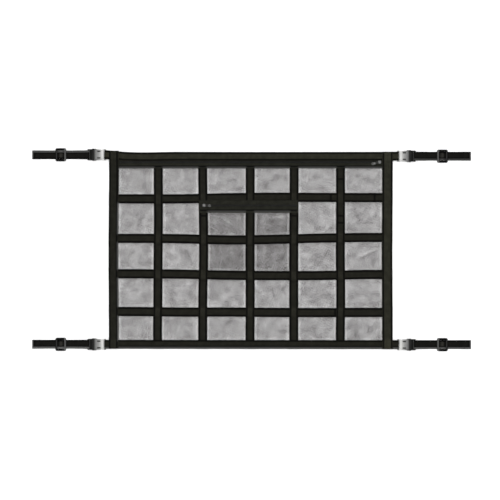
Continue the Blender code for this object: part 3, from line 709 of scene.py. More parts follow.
def places_between(start, end, steps, pitch=PLACES_PITCH):
    """Places along a web, close together where it steps up or down."""
    places = set(np.linspace(start, end, max(2, math.ceil((end - start) / pitch) + 1)))
    for low, high, _ in steps:
        for edge in (low - STEP_MARGIN - STEP_RAMP, high + STEP_MARGIN):
            places |= set(edge + STEP_RAMP * np.linspace(0, 1, RAMP_PLACES))
    ordered = sorted(place for place in places if start <= place <= end)
    kept = [ordered[0]]
    for place in ordered[1:-1]:
        if place - kept[-1] > HALF_SHEET and end - place > HALF_SHEET:
            kept.append(place)
    return np.array(kept + [ordered[-1]])


# Webs and their stitches

# Each web's two rows of stitches: how far in from its edges they are sewn, in mm, and how pale
# the strip beyond them is. First the side at -v, then at +v, where v runs along +Y on the webs
# along X and the right straps, along -X on the webs along Y and along -Y on the left straps.
PLAIN_ROWS = {"inset": (3.2, 3.2), "pale": (0.0, 0.0)}
STITCH_ROWS = {
    "side_web_left": {"inset": (4.6, 2.4), "pale": (0.28, 0.0)},
    "bottom_web": {"inset": (6.4, 2.0), "pale": (0.2, 0.0)},
    "strap_top_left": {"inset": (6.5, 2.3), "pale": (0.27, 0.0)},
    "strap_top_right": {"inset": (6.2, 2.0), "pale": (0.17, 0.0)},
    "strap_bottom_left": {"inset": (2.0, 6.0), "pale": (0.0, 0.46)},
    "strap_bottom_right": {"inset": (6.0, 2.0), "pale": (0.3, 0.0)},
}
STITCH_PITCH = 4.0 * MM
STITCH_LENGTH = 3.1 * MM
STITCH_WIDTH = 0.75 * MM
STITCH_HEIGHT = 0.55 * MM
STITCH_LIFT = 0.1 * MM
GROOVE_DEPTH = 0.2 * MM
GROOVE_HALF = 0.55 * MM
SELVEDGE_LINES = 3
SELVEDGE = {"inset": (0.0, 0.18 * MM, 0.55 * MM, 1.2 * MM),
            "height": (0.06 * MM, 0.30 * MM, 0.44 * MM, 0.46 * MM)}
UNDER_SELVEDGE = {"inset": (0.0, 0.18 * MM, 0.6 * MM),
                  "height": (0.06 * MM, 0.34 * MM, 0.5 * MM)}
CROWN_INSETS = (0.55, 0.8)


def web_section(width, rows):
    """Places across a web, and how far it reaches above and below its middle at each of them."""
    half = width / 2
    insets = list(SELVEDGE["inset"]) + [half * share for share in CROWN_INSETS]
    places = {0.0}
    places |= {side * (half - inset) for inset in insets for side in (-1, 1)}
    for row in rows:
        places -= {place for place in places if abs(place - row) < GROOVE_HALF and place != row}
        places |= {row - GROOVE_HALF, row - GROOVE_HALF / 2, row, row + GROOVE_HALF / 2,
                   row + GROOVE_HALF}
    across = np.array(sorted(places))
    inset = half - np.abs(across)
    crown = np.interp(inset, (SELVEDGE["inset"][-1], half), (SELVEDGE["height"][-1], HALF_SHEET))
    top = np.where(inset < SELVEDGE["inset"][-1],
                   np.interp(inset, SELVEDGE["inset"], SELVEDGE["height"]), crown)
    for row in rows:
        depth = 1 - np.clip((np.abs(across - row) / GROOVE_HALF), 0, 1)
        top = top - GROOVE_DEPTH * np.minimum(1, 2 * depth)
    low = np.interp(inset, UNDER_SELVEDGE["inset"], UNDER_SELVEDGE["height"])
    return across, top, low


def stitch_template():
    """One stitch lying along X: a four-sided grain of thread, pointed at its ends."""
    points = [(-0.5, 0, -0.5)]
    for x in (-0.27, 0.27):
        points += [(x, 0.5, 0), (x, 0, 0.5), (x, -0.5, 0), (x, 0, -0.5)]
    points.append((0.5, 0, -0.5))
    faces = []
    for i in range(4):
        here = 1 + i
        there = 1 + (i + 1) % 4
        faces += [(0, here, there), (here, here + 4, there + 4, there), (9, there + 4, here + 4)]
    return np.array(points), faces


STITCH_POINTS, STITCH_FACES = stitch_template()


def stitches_mesh(name, rows):
    """All the stitches of one piece. Each row is places, directions and normals."""
    vertices = []
    faces = []
    count = 0
    for places, directions, normals in rows:
        sides = np.cross(normals, directions)
        size = (STITCH_LENGTH, STITCH_WIDTH, STITCH_HEIGHT)
        grains = (places[:, None] + directions[:, None] * STITCH_POINTS[None, :, 0:1] * size[0]
                  + sides[:, None] * STITCH_POINTS[None, :, 1:2] * size[1]
                  + normals[:, None] * STITCH_POINTS[None, :, 2:3] * size[2])
        vertices += grains.reshape(-1, 3).tolist()
        for _ in range(len(places)):
            faces += [tuple(count + corner for corner in face) for face in STITCH_FACES]
            count += len(STITCH_POINTS)
    mesh = bpy.data.meshes.new(name)
    mesh.from_pydata(vertices, [], faces)
    return mesh


def row_along(points, normals, top, hidden=None):
    """A row of stitches along a line of surface points, left out where hidden says so."""
    surface = points + normals * (top + STITCH_LIFT)
    lengths = lengths_along(surface)
    middles = np.arange(STITCH_PITCH / 2, lengths[-1], STITCH_PITCH)
    places = np.stack([np.interp(middles, lengths, surface[:, i]) for i in range(3)], axis=-1)
    ahead = np.stack([np.interp(middles + STITCH_PITCH / 4, lengths, surface[:, i])
                      for i in range(3)], axis=-1)
    up = unit(np.stack([np.interp(middles, lengths, normals[:, i]) for i in range(3)], axis=-1))
    directions = unit(ahead - places)
    up = unit(up - directions * np.sum(up * directions, axis=-1, keepdims=True))
    keep = np.ones(len(places), bool) if hidden is None else ~hidden(places)
    return places[keep], directions[keep], up[keep]


def row_across(points, normals, top):
    """A row of stitches across a web, on the points of one grid line between its selvedges."""
    inner = slice(SELVEDGE_LINES, -SELVEDGE_LINES)
    return row_along(points[inner], normals[inner], float(np.median(top)))


def rows_along(grid, normals, across, seams, top, hidden):
    """Rows of stitches along a sheet, on its grid lines nearest to the seams' places across it."""
    rows = []
    for seam in seams:
        column = int(np.argmin(np.abs(across - seam)))
        rows.append(row_along(grid[:, column], normals[:, column], top[column], hidden))
    return rows


def add_stitches(name, rows, matrix=None):
    mesh = stitches_mesh(name + "_stitches", rows)
    return add_piece(name + "_stitches", mesh, THREAD, matrix=matrix, sharp_angle=70.0)


def web(name, points, width, material, hidden=None, painted_light=None, across_at=(), joins=(),
        matrix=None, end_highlight=None, pale_share=None):
    """A web from its middle line's points and directions across, with its rows of stitches.

    A join is sewn across as the rows at across_at are, and has a painted shade along it. Along the web,
    pale_share weakens its pale strips and end_highlight adds a painted highlight all across it.
    """
    middle, side = points
    sewn_rows = STITCH_ROWS.get(name, PLAIN_ROWS)
    rows = (sewn_rows["inset"][0] * MM - width / 2, width / 2 - sewn_rows["inset"][1] * MM)
    across, top, low = web_section(width, rows)
    grid = middle[:, None] + side[:, None] * across[None, :, None]
    mesh = closed_sheet(name, grid, top, low)
    normals = grid_normals(grid)
    along = lengths_along(middle)
    weave = np.zeros(grid.shape)
    weave[..., 0] = along[:, None]
    weave[..., 1] = across[None, :]
    across_lines = [int(np.argmin(np.abs(along - place))) for place in (*joins, *across_at)]
    seam = np.minimum(np.abs(across - rows[0]), np.abs(across - rows[1]))[None, :]
    for line in across_lines[:len(joins)]:
        seam = np.minimum(seam, np.abs(along - along[line])[:, None])
    beyond = [across < rows[0] - GROOVE_HALF / 2, across > rows[1] + GROOVE_HALF / 2]
    pale = np.select(beyond, sewn_rows["pale"], 0.0)[None, :]
    if pale_share is not None:
        pale = pale * pale_share[:, None]
    if end_highlight is not None:
        pale = np.maximum(pale, end_highlight[:, None])
    store_cloth(mesh, weave, seam, 0.0 if painted_light is None else painted_light[:, None], pale)
    piece = add_piece(name + "_cloth", mesh, material, (name,), matrix)
    seams = rows_along(grid, normals, across, rows, top, hidden)
    seams += [row_across(grid[line], normals[line], top) for line in across_lines]
    sewn = add_stitches(name, seams, matrix)
    return piece


def laid(places, steps):
    """Path of a web laid on the front panel, as each place along it and its middle's height."""
    return np.stack([places, underside(places, 2 * LAYER, steps) + HALF_SHEET], axis=-1)


def on_x(path, line):
    """Middle line of a web along X, from its path in X and Z, and its direction across."""
    middle = np.stack([path[:, 0], line(path[:, 0]), path[:, 1]], axis=-1)
    return middle, np.broadcast_to((0.0, 1.0, 0.0), middle.shape)


def on_y(path, line):
    """Middle line of a web along Y, from its path in Y and Z, and its direction across."""
    middle = np.stack([line(path[:, 0]), path[:, 0], path[:, 1]], axis=-1)
    return middle, np.broadcast_to((-1.0, 0.0, 0.0), middle.shape)


def step_over(middle, width, height):
    return (float(middle - width / 2), float(middle + width / 2), height)


STEP_EDGE_FADE = 2.0 * MM


def on_steps(places, steps):
    """1 where a web lies on each step, falling to 0 at the step's two edges."""
    total = np.zeros(len(places))
    for start, end, _ in steps:
        corners = (start, start + STEP_EDGE_FADE, end - STEP_EDGE_FADE, end)
        total = np.maximum(total, np.interp(places, corners, (0, 1, 1, 0)))
    return total


def by_pocket_tape(x, y):
    """True inside the outline of the pocket zip's tape."""
    return ((x > POCKET_TAPE_LEFT) & (x < POCKET_TAPE_RIGHT)
            & (y > POCKET_TAPE_LOW) & (y < POCKET_TAPE_HIGH))


def under_uprights(places):
    """True where a cross web lies under a side web, an upright web or the pocket zip's tape."""
    x, y = places[:, 0], places[:, 1]
    covered = (x < INNER_LEFT) | (x > INNER_RIGHT)
    for line in UPRIGHT_X.values():
        covered |= np.abs(x - line(y)) < UPRIGHT_WIDTH / 2 + SHEET
    return covered | by_pocket_tape(x, y)


def under_edges(places):
    """True where an upright web lies under the bottom web or a zip's tape."""
    x, y = places[:, 0], places[:, 1]
    return (y > TOP_TAPE_LOW) | (y < INNER_BOTTOM) | by_pocket_tape(x, y)


# Seams across the webs where lengths of webbing are joined, in mm along the web's axis; a shade is
# painted along each
CROSS_JOINS = {"cross_web_1": (224.0, 347.0), "cross_web_4": (234.0,)}
UPRIGHT_JOINS = {"upright_web_2": (97.0,), "upright_web_4": (97.0,),
                 "upright_web_5": (76.0, 95.0, 200.0)}


def build_cross_webs():
    for name, line in CROSS_Y.items():
        steps = [(POCKET_LEFT, POCKET_RIGHT, 3 * LAYER)] if name in POCKET_CROSS_WEBS else []
        places = places_between(CROSS_LEFT, CROSS_RIGHT, steps)
        joins = [x * MM - CROSS_LEFT for x in CROSS_JOINS.get(name, ())]
        web(name, on_x(laid(places, steps), line), CROSS_WIDTH, WEBBING,
            hidden=under_uprights, joins=joins)


def build_upright_webs():
    for name, line in UPRIGHT_X.items():
        steps = []
        crossings = []
        if name in POCKET_UPRIGHTS:
            steps.append((POCKET_BOTTOM, POCKET_TOP, 3 * LAYER))
        for cross, cross_line in CROSS_Y.items():
            over_pocket = name in POCKET_UPRIGHTS and cross in POCKET_CROSS_WEBS
            height = 4 * LAYER if over_pocket else 3 * LAYER
            crossings.append(step_over(cross_line(line(0.0)), CROSS_WIDTH, height))
        places = places_between(UPRIGHT_BOTTOM, UPRIGHT_TOP, steps + crossings)
        joins = [y * MM - UPRIGHT_BOTTOM for y in UPRIGHT_JOINS.get(name, ())]
        # Painted highlight on an upright web where it lies over a cross web
        web(name, on_y(laid(places, steps + crossings), line), UPRIGHT_WIDTH, WEBBING,
            hidden=under_edges, joins=joins, painted_light=on_steps(places, crossings))


SIDE_WIDTHS = {"side_web_left": LEFT_SIDE_WIDTH, "side_web_right": RIGHT_SIDE_WIDTH}
BAR_TACK_INSET = 8.0 * MM


def build_side_webs():
    materials = {"side_web_left": WEBBING, "side_web_right": WEBBING_LIGHT}
    for name, line in SIDE_X.items():
        width = SIDE_WIDTHS[name]
        middle_x = float(line(0.0))
        top = float(EDGE_Y["top_web"](middle_x))
        bottom = float(EDGE_Y["bottom_web"](middle_x))
        steps = [step_over(top, STRAP_WIDTH, 4 * LAYER), step_over(bottom, STRAP_WIDTH, 4 * LAYER),
                 (TOP_TAPE_LOW, TOP_TAPE_HIGH, 3 * LAYER)]
        steps += [step_over(cross(middle_x), CROSS_WIDTH, 3 * LAYER) for cross in CROSS_Y.values()]
        places = places_between(bottom - STRAP_WIDTH / 2, top + STRAP_WIDTH / 2, steps)
        ends = [BAR_TACK_INSET, places[-1] - places[0] - BAR_TACK_INSET]
        beside_opening = (1 - on_steps(places, steps)) * (places < CROSS_Y["cross_web_1"](middle_x))
        # Painted highlight on a side web where it lies over the top and bottom webs
        web(name, on_y(laid(places, steps), line), width, materials[name],
            painted_light=on_steps(places, steps[:2]), across_at=ends,
            pale_share=beside_opening)


def quarter_turn(z, start_angle):
    """Points of a rounded corner about (0, z), a quarter turn clockwise from the start angle."""
    angles = [start_angle - math.pi / 2 * i / TURN_STEPS for i in range(TURN_STEPS + 1)]
    return [(FOLD_RADIUS * math.cos(a), z + FOLD_RADIUS * math.sin(a)) for a in angles]


def bar_turn(slot_side, outward):
    """Path of a web round a buckle's bar, from above it to below it, through its slot."""
    reach = BAR_CLEARANCE + HALF_SHEET
    middle = BUCKLE_HEIGHT / 2
    top = middle + BAR_HEIGHT / 2 + reach - FOLD_RADIUS
    low = middle - BAR_HEIGHT / 2 - reach + FOLD_RADIUS
    centre = slot_side + outward * (reach - FOLD_RADIUS)
    turn = quarter_turn(top, math.pi / 2) + quarter_turn(low, 0)
    return [(centre + outward * x, z) for x, z in turn]


BAR_TOP = BUCKLE_HEIGHT / 2 + BAR_HEIGHT / 2 + BAR_CLEARANCE + HALF_SHEET
BAR_BOTTOM = BUCKLE_HEIGHT - BAR_TOP


def edge_web_end(side):
    """Path of a long edge web from its lap's end, round the buckle's bar, to the net's edge."""
    edge = NET_EDGE[side] + STEP_MARGIN
    lap_z = 3 * LAYER + HALF_SHEET
    web_z = 2 * LAYER + HALF_SHEET
    path = [(NET_EDGE[side] - LAP_INSIDE, lap_z), (edge, lap_z), (BUCKLE_START - GAP, BAR_TOP)]
    path += bar_turn(BUCKLE_START + BAR_WIDTH, 1)
    path += [(BUCKLE_START - GAP, BAR_BOTTOM), (edge, web_z)]
    return [(side * x, z) for x, z in path]


def refined(path, pitch):
    """The path with its long runs divided and its corners a little rounded."""
    path = np.array(path)
    corners = [path[0]]
    for before, here, after in zip(path, path[1:], path[2:]):
        corners += [here + (before - here) * CORNER_REACH, here + (after - here) * CORNER_REACH]
    corners.append(path[-1])
    points = [corners[0]]
    for here, there in zip(corners, corners[1:]):
        parts = max(1, math.ceil(np.linalg.norm(there - here) / pitch))
        points += [here + (there - here) * (i + 1) / parts for i in range(parts)]
    points = np.array(points)
    keep = np.concatenate([[True], np.linalg.norm(np.diff(points, axis=0), axis=-1) > WELD])
    return points[keep]


def build_edge_webs():
    def hidden(places):
        x, z = places[:, 0], places[:, 2]
        under_left = np.abs(x - SIDE_X["side_web_left"](0.0)) < LEFT_SIDE_WIDTH / 2
        under_right = np.abs(x - SIDE_X["side_web_right"](0.0)) < RIGHT_SIDE_WIDTH / 2
        in_loop = (x < -NET_EDGE[-1]) | (x > NET_EDGE[1])
        return under_left | under_right | (in_loop & (z < BAR_BOTTOM + SHEET))

    materials = {"top_web": WEBBING_LIGHT, "bottom_web": WEBBING}
    for name, line in EDGE_Y.items():
        steps = []
        if name == "bottom_web":
            steps = [step_over(upright(UPRIGHT_BOTTOM), UPRIGHT_WIDTH, 3 * LAYER)
                     for upright in UPRIGHT_X.values()]
        inner = places_between(-NET_EDGE[-1] + SHEET, NET_EDGE[1] - SHEET, steps)
        left = refined(edge_web_end(-1), PLACES_PITCH)
        right = refined(edge_web_end(1), PLACES_PITCH)[::-1]
        path = np.concatenate([left, laid(inner, steps), right])
        web(name, on_x(path, line), STRAP_WIDTH, materials[name], hidden=hidden)


# Mesh panels

def cell_edges(lines, knots, width, first, last):
    """Bounds of the openings between the webs, as the space that is clear all along them."""
    lows = [first]
    highs = []
    for line in lines:
        places = line(np.array(knots) * MM)
        highs.append(float(places.min()) - width / 2 - PUCKER_MARGIN)
        lows.append(float(places.max()) + width / 2 + PUCKER_MARGIN)
    return list(zip(lows, highs + [last]))


def opening_table():
    """Bounds in X of the columns of openings, left to right, and in Y of the rows, from below."""
    rows_y = np.array(ROW_Y) * MM
    columns_x = np.array(COLUMN_X) * MM
    first_x = float(SIDE_X["side_web_left"](rows_y).max()) + LEFT_SIDE_WIDTH / 2 + PUCKER_MARGIN
    last_x = float(SIDE_X["side_web_right"](rows_y).min()) - RIGHT_SIDE_WIDTH / 2 - PUCKER_MARGIN
    first_y = float(EDGE_Y["bottom_web"](columns_x).max()) + STRAP_WIDTH / 2 + PUCKER_MARGIN
    last_y = TOP_TAPE_LOW - PUCKER_MARGIN
    columns = cell_edges(UPRIGHT_X.values(), ROW_Y, UPRIGHT_WIDTH, first_x, last_x)
    rows = cell_edges(reversed(CROSS_Y.values()), COLUMN_X, CROSS_WIDTH, first_y, last_y)
    return columns, rows


COLUMNS, ROWS = opening_table()


def pucker(x, y):
    """Height that the cloth stands up by between the webs, zero under them, and how far in."""
    height = np.zeros(x.shape)
    inside = np.zeros(x.shape)
    in_pocket = (x > POCKET_LEFT) & (x < POCKET_RIGHT)
    for (low_y, high_y), heights in zip(ROWS, PUCKERS):
        capped = in_pocket & (low_y < POCKET_TAPE_LOW < high_y)
        top_y = np.where(capped, POCKET_TAPE_LOW - PUCKER_MARGIN, high_y)
        for (low_x, high_x), crown in zip(COLUMNS, heights):
            u = (x - low_x) / (high_x - low_x)
            v = (y - low_y) / (top_y - low_y)
            here = (u > 0) & (u < 1) & (v > 0) & (v < 1)
            bulge = np.sin(math.pi * np.clip(u, 0, 1)) * np.sin(math.pi * np.clip(v, 0, 1))
            lean = 1 + PUCKER_LEAN * np.sin(2 * math.pi * (u - v))
            height = np.where(here, crown * MM * bulge * lean, height)
            inside = np.where(here, np.minimum(1.0, INSIDE_GAIN * bulge), inside)
    return height, inside


def crease_sum(x, y, creases):
    """Heights of all the creases at the places: soft ridges and troughs that fade at their ends."""
    total = np.zeros(x.shape)
    for x0, y0, x1, y1, width, height in creases:
        dx, dy = x1 - x0, y1 - y0
        along = np.clip(((x - x0) * dx + (y - y0) * dy) / (dx * dx + dy * dy), 0, 1)
        away = np.hypot(x - x0 - along * dx, y - y0 - along * dy) / width
        share = CREASE_END_SHARE + (1 - CREASE_END_SHARE) * np.sin(math.pi * along)
        total += height * np.exp(-away * away) * share
    return total


def main_creases():
    names = ("from_x", "from_y", "to_x", "to_y", "half_width", "height")
    return [tuple(value * MM for value in row) for row in zip(*(CREASES[name] for name in names))]


def small_creases(random):
    """Short faint creases scattered over the front mesh."""
    creases = []
    for _ in range(SMALL_CREASES):
        x = random.uniform(PANEL_LEFT, PANEL_RIGHT)
        y = random.uniform(PANEL_BOTTOM, FRONT_PANEL_TOP)
        angle = random.uniform(0, math.pi)
        reach = random.uniform(*SMALL_CREASE_REACH)
        height = random.uniform(-1, 1) * SMALL_CREASE_HEIGHT
        creases.append((x - reach * math.cos(angle), y - reach * math.sin(angle),
                        x + reach * math.cos(angle), y + reach * math.sin(angle),
                        random.uniform(*SMALL_CREASE_HALF_WIDTH), height))
    return creases


# Tone of the mesh by its distance from a web, in mm: denser holes at the seam, then more open holes and
# a painted highlight in a narrow rim, which is strongest beside the webs along Y
RIM = {"away": (0.0, 1.2, 2.4, 4.4, 7.0), "tone": (-0.5, 0.2, 1.0, 0.8, 0.0)}
RIM_ABOVE_CROSS = 0.5
RIM_LINES = (0.6 * MM, 1.8 * MM, 3.0 * MM, 4.4 * MM, 6.0 * MM)
CLOSEST_LINES = 0.7 * MM
CREASE_FULL_TONE = 1.1 * MM
DEEPEST_TROUGH = -0.25 * MM


def lines_along_y():
    """Each web along Y, with its width."""
    lines = [(line, UPRIGHT_WIDTH) for line in UPRIGHT_X.values()]
    return lines + [(line, SIDE_WIDTHS[name]) for name, line in SIDE_X.items()]


def rim_tone(x, y):
    """Tone of the mesh beside the webs along Y, and above each web along X."""
    def tone(distances):
        away = np.min([np.where(away > 0, away, math.inf) for away in distances], axis=0)
        return np.interp(away, np.array(RIM["away"]) * MM, RIM["tone"])

    beside = [np.abs(x - line(y)) - width / 2 for line, width in lines_along_y()]
    above = [y - line(x) - CROSS_WIDTH / 2 for line in CROSS_Y.values()]
    above.append(y - EDGE_Y["bottom_web"](x) - STRAP_WIDTH / 2)
    return tone(beside) + RIM_ABOVE_CROSS * tone(above)


def panel_places(start, end, pitch, folded):
    """Even grid lines from start to end, with close ones beside the webs along Y if folded."""
    places = set(np.linspace(start, end, math.ceil((end - start) / pitch) + 1))
    for line, width in lines_along_y() if folded else ():
        for step in RIM_LINES:
            places |= {float(line(0.0)) + side * (width / 2 + step) for side in (-1, 1)}
    kept = [start]
    for place in sorted(places):
        if place - kept[-1] > CLOSEST_LINES and end - place > CLOSEST_LINES:
            kept.append(place)
    return np.array(kept + [end])


def mesh_panel(name, node, left, right, bottom, top, height, material, folded):
    """A mesh panel as one thin sheet, puckered and creased between the webs if folded."""
    xs = panel_places(left, right, FOLDED_PITCH if folded else BACK_PITCH, folded)
    ys = panel_places(bottom, top, FOLDED_ROW_PITCH if folded else BACK_PITCH, False)
    x, y = np.meshgrid(xs, ys, indexing="ij")
    z = np.full(x.shape, height + HALF_SHEET)
    tone = np.zeros(x.shape)
    if folded:
        raised, inside = pucker(x, y)
        creases = crease_sum(x, y, ALL_CREASES) * inside
        z = z + np.maximum(raised + creases, DEEPEST_TROUGH)
        # Crease ridges and the rims beside the webs get a painted highlight through tone; troughs get
        # denser holes
        tone = np.clip(creases / CREASE_FULL_TONE, -1, 1) + rim_tone(x, y)
    mesh = bpy.data.meshes.new(name)
    points = np.stack([x, y, z], axis=-1)
    mesh.from_pydata(points.reshape(-1, 3).tolist(), [], grid_faces(*x.shape).tolist())
    store(mesh, "tone", 'FLOAT', tone)
    piece = add_piece(name, mesh, material, (node,), sharp_angle=80.0)
    return piece


def build_panels():
    mesh_panel("back_mesh", "back_panel", PANEL_LEFT, PANEL_RIGHT, PANEL_BOTTOM, BACK_PANEL_TOP,
               0, mesh_fabric("mesh_back", pitch=0.78 * MM, turn=0.0), False)
    mesh_panel("front_mesh", "front_panel", PANEL_LEFT, PANEL_RIGHT, PANEL_BOTTOM,
               FRONT_PANEL_TOP, LAYER, mesh_fabric("mesh_front", pitch=0.82 * MM, turn=0.12), True)
    mesh_panel("pocket_mesh", "pocket_panel", POCKET_LEFT, POCKET_RIGHT, POCKET_BOTTOM,
               POCKET_TOP, 2 * LAYER,
               mesh_fabric("mesh_pocket", pitch=0.8 * MM, turn=-0.2, hole=POCKET_MESH_HOLE),
               True)


# Zips

TOOTH_PITCH = 1.5 * MM
TOOTH_HEIGHT = 0.9 * MM
TOOTH_WIDTH = 0.95 * MM
TOOTH_SIDES = 6
TOOTH_LIFT = 0.02 * MM


def tooth_template():
    """One coil tooth lying along Y from one side to just past the middle, rounded at its ends."""
    rings = ((-0.5, 0.55), (-0.36, 1.0), (0.0, 1.0), (0.1, 0.7))
    points = []
    faces = []
    for y, scale in rings:
        for i in range(TOOTH_SIDES):
            angle = 2 * math.pi * i / TOOTH_SIDES
            points.append((0.5 * scale * math.cos(angle), y, 0.5 * scale * math.sin(angle)))
    for ring in range(len(rings) - 1):
        for i in range(TOOTH_SIDES):
            a = ring * TOOTH_SIDES + i
            b = ring * TOOTH_SIDES + (i + 1) % TOOTH_SIDES
            faces.append((a, a + TOOTH_SIDES, b + TOOTH_SIDES, b))
    faces.append(tuple(range(TOOTH_SIDES)))
    last = (len(rings) - 1) * TOOTH_SIDES
    faces.append(tuple(last + i for i in reversed(range(TOOTH_SIDES))))
    return np.array(points), faces


def zip_chain(name, start, end, y, steps, base):
    """Two rows of coil teeth that mesh along the middle, following the tape's height."""
    points, faces = tooth_template()
    count = int((end - start) / (TOOTH_PITCH / 2)) - 1
    vertices = []
    all_faces = []
    for i in range(count):
        side = 1 if i % 2 == 0 else -1
        x = start + (i + 1) * TOOTH_PITCH / 2
        z = float(underside(np.array([x]), base, steps)[0]) + TOOTH_HEIGHT / 2 + TOOTH_LIFT
        tooth = points * (TOOTH_WIDTH, CHAIN_WIDTH * side, TOOTH_HEIGHT) + (x, y, z)
        vertices += tooth.tolist()
        for face in faces:
            corners = [i * len(points) + corner for corner in face]
            all_faces.append(corners if side > 0 else corners[::-1])
    mesh = bpy.data.meshes.new(name)
    mesh.from_pydata(vertices, [], all_faces)
    return add_piece(name + "_teeth", mesh, COIL, (name,), sharp_angle=50.0)


# Tapes: their thin edges, their seams, measured from their edges or from the zip, and how pale
# their lower edges are
TAPE_PITCH = 1.6 * MM
TAPE_EDGE = {"inset": (0.0, 0.25 * MM, 0.6 * MM), "height": (0.1 * MM, 0.35 * MM, HALF_SHEET)}
TAPE_EDGE_SEAM = 2.2 * MM
TOP_TAPE_SEAM = 5.6 * MM
POCKET_TAPE_SEAM = 7.0 * MM
CHAIN_SEAM = 7.0 * MM
TOP_TAPE_PALE = 0.22
POCKET_TAPE_PALE = 0.14


def tape(name, xs, ys, place, seams, pale, hidden=None):
    """A zip's tape from its height at each place, with rows of stitches at the seams' heights.

    A shade is painted along the first seam, and the strip below it is paler by pale along the tape.
    """
    grid = place(*np.meshgrid(xs, ys, indexing="ij"))
    inset = np.minimum(ys - ys[0], ys[-1] - ys)
    top = np.interp(inset, TAPE_EDGE["inset"], TAPE_EDGE["height"])
    mesh = closed_sheet(name, grid, top, top)
    below = ys < seams[0] - GROOVE_HALF
    store_cloth(mesh, grid * (1, 1, 0), np.abs(ys - seams[0]), 0.0, below * pale[:, None])
    piece = add_piece(name + "_cloth", mesh, TAPE, (name,))
    sewn = add_stitches(name, rows_along(grid, grid_normals(grid), ys, seams, top, hidden))
    return piece


def fine_places(start, end, pitch, fixed=()):
    """Even places from start to end, with close ones inside both ends and the fixed ones."""
    near = TAPE_EDGE["inset"][1:]
    places = set(np.linspace(start, end, math.ceil((end - start) / pitch) + 1))
    for value in fixed:
        places = {place for place in places if abs(place - value) > pitch / 3} | {value}
    places |= {start, end}
    places |= {start + step for step in near} | {end - step for step in near}
    return np.array(sorted(places))


def build_top_zip():
    """The long zip: its tape falls past the front panel's top edge onto the back one."""
    uprights = [step_over(upright(TOP_TAPE_LOW), UPRIGHT_WIDTH, 3 * LAYER)
                for upright in UPRIGHT_X.values()]
    fall_start = FRONT_PANEL_TOP + STEP_MARGIN

    def place(x, y):
        fall = np.clip((y - fall_start) / TAPE_FALL, 0, 1)
        on_panel = 1 - fall * fall * (3 - 2 * fall)
        height = LAYER + on_panel * (underside(x, 2 * LAYER, uprights) - LAYER)
        return np.stack([x, y, height + HALF_SHEET], axis=-1)

    def hidden(places):
        x = places[:, 0]
        return (x < INNER_LEFT) | (x > INNER_RIGHT)

    xs = places_between(TOP_TAPE_LEFT, TOP_TAPE_RIGHT, uprights)
    seams = (TOP_TAPE_LOW + TOP_TAPE_SEAM, TOP_TAPE_LOW + TAPE_EDGE_SEAM)
    ys = fine_places(TOP_TAPE_LOW, TOP_TAPE_HIGH, TAPE_PITCH, seams)
    pale = TOP_TAPE_PALE * (1 - on_steps(xs, uprights))
    tape("top_zip_tape", xs, ys, place, seams, pale, hidden)
    left = float(SIDE_X["side_web_left"](TOP_ZIP_Y)) + LEFT_SIDE_WIDTH / 2 + CHAIN_END_MARGIN
    right = float(SIDE_X["side_web_right"](TOP_ZIP_Y)) - RIGHT_SIDE_WIDTH / 2 - CHAIN_END_MARGIN
    zip_chain("top_zip_chain", left, right, TOP_ZIP_Y, [], 2 * LAYER)


def build_pocket_zip():
    """The pocket's zip: its tape and chain step over the three upright webs under them."""
    middles = [float(UPRIGHT_X[name](POCKET_ZIP_Y)) for name in POCKET_UPRIGHTS]
    tape_steps = [step_over(x, UPRIGHT_WIDTH, 4 * LAYER) for x in middles]
    chain_steps = [step_over(x, UPRIGHT_WIDTH, 5 * LAYER) for x in middles]

    def place(x, y):
        return np.stack([x, y, underside(x, 3 * LAYER, tape_steps) + HALF_SHEET], axis=-1)

    xs = places_between(POCKET_TAPE_LEFT, POCKET_TAPE_RIGHT, tape_steps)
    seams = (POCKET_TAPE_LOW + POCKET_TAPE_SEAM, POCKET_ZIP_Y - CHAIN_SEAM,
             POCKET_ZIP_Y + CHAIN_SEAM, POCKET_TAPE_HIGH - TAPE_EDGE_SEAM)
    ys = fine_places(POCKET_TAPE_LOW, POCKET_TAPE_HIGH, TAPE_PITCH, seams)
    pale = POCKET_TAPE_PALE * (1 - on_steps(xs, tape_steps))
    tape("pocket_zip_tape", xs, ys, place, seams, pale, None)
    zip_chain("pocket_zip_chain", POCKET_TAPE_LEFT + CHAIN_END_MARGIN,
              POCKET_TAPE_RIGHT - CHAIN_END_MARGIN, POCKET_ZIP_Y, chain_steps, 4 * LAYER)


# Plates and lofts

def rectangle(start, end, width, corner, middle=0.0, steps=4):
    """A rectangle from start to end along X with rounded corners."""
    half = width / 2
    if corner == 0:
        return [(start, middle - half), (end, middle - half), (end, middle + half),
                (start, middle + half)]
    points = []
    centres = ((end - corner, half - corner, 0), (start + corner, half - corner, 1),
               (start + corner, corner - half, 2), (end - corner, corner - half, 3))
    for x, y, turn in centres:
        for i in range(steps + 1):
            angle = math.pi / 2 * (turn + i / steps)
            points.append((x + corner * math.cos(angle), middle + y + corner * math.sin(angle)))
    return points


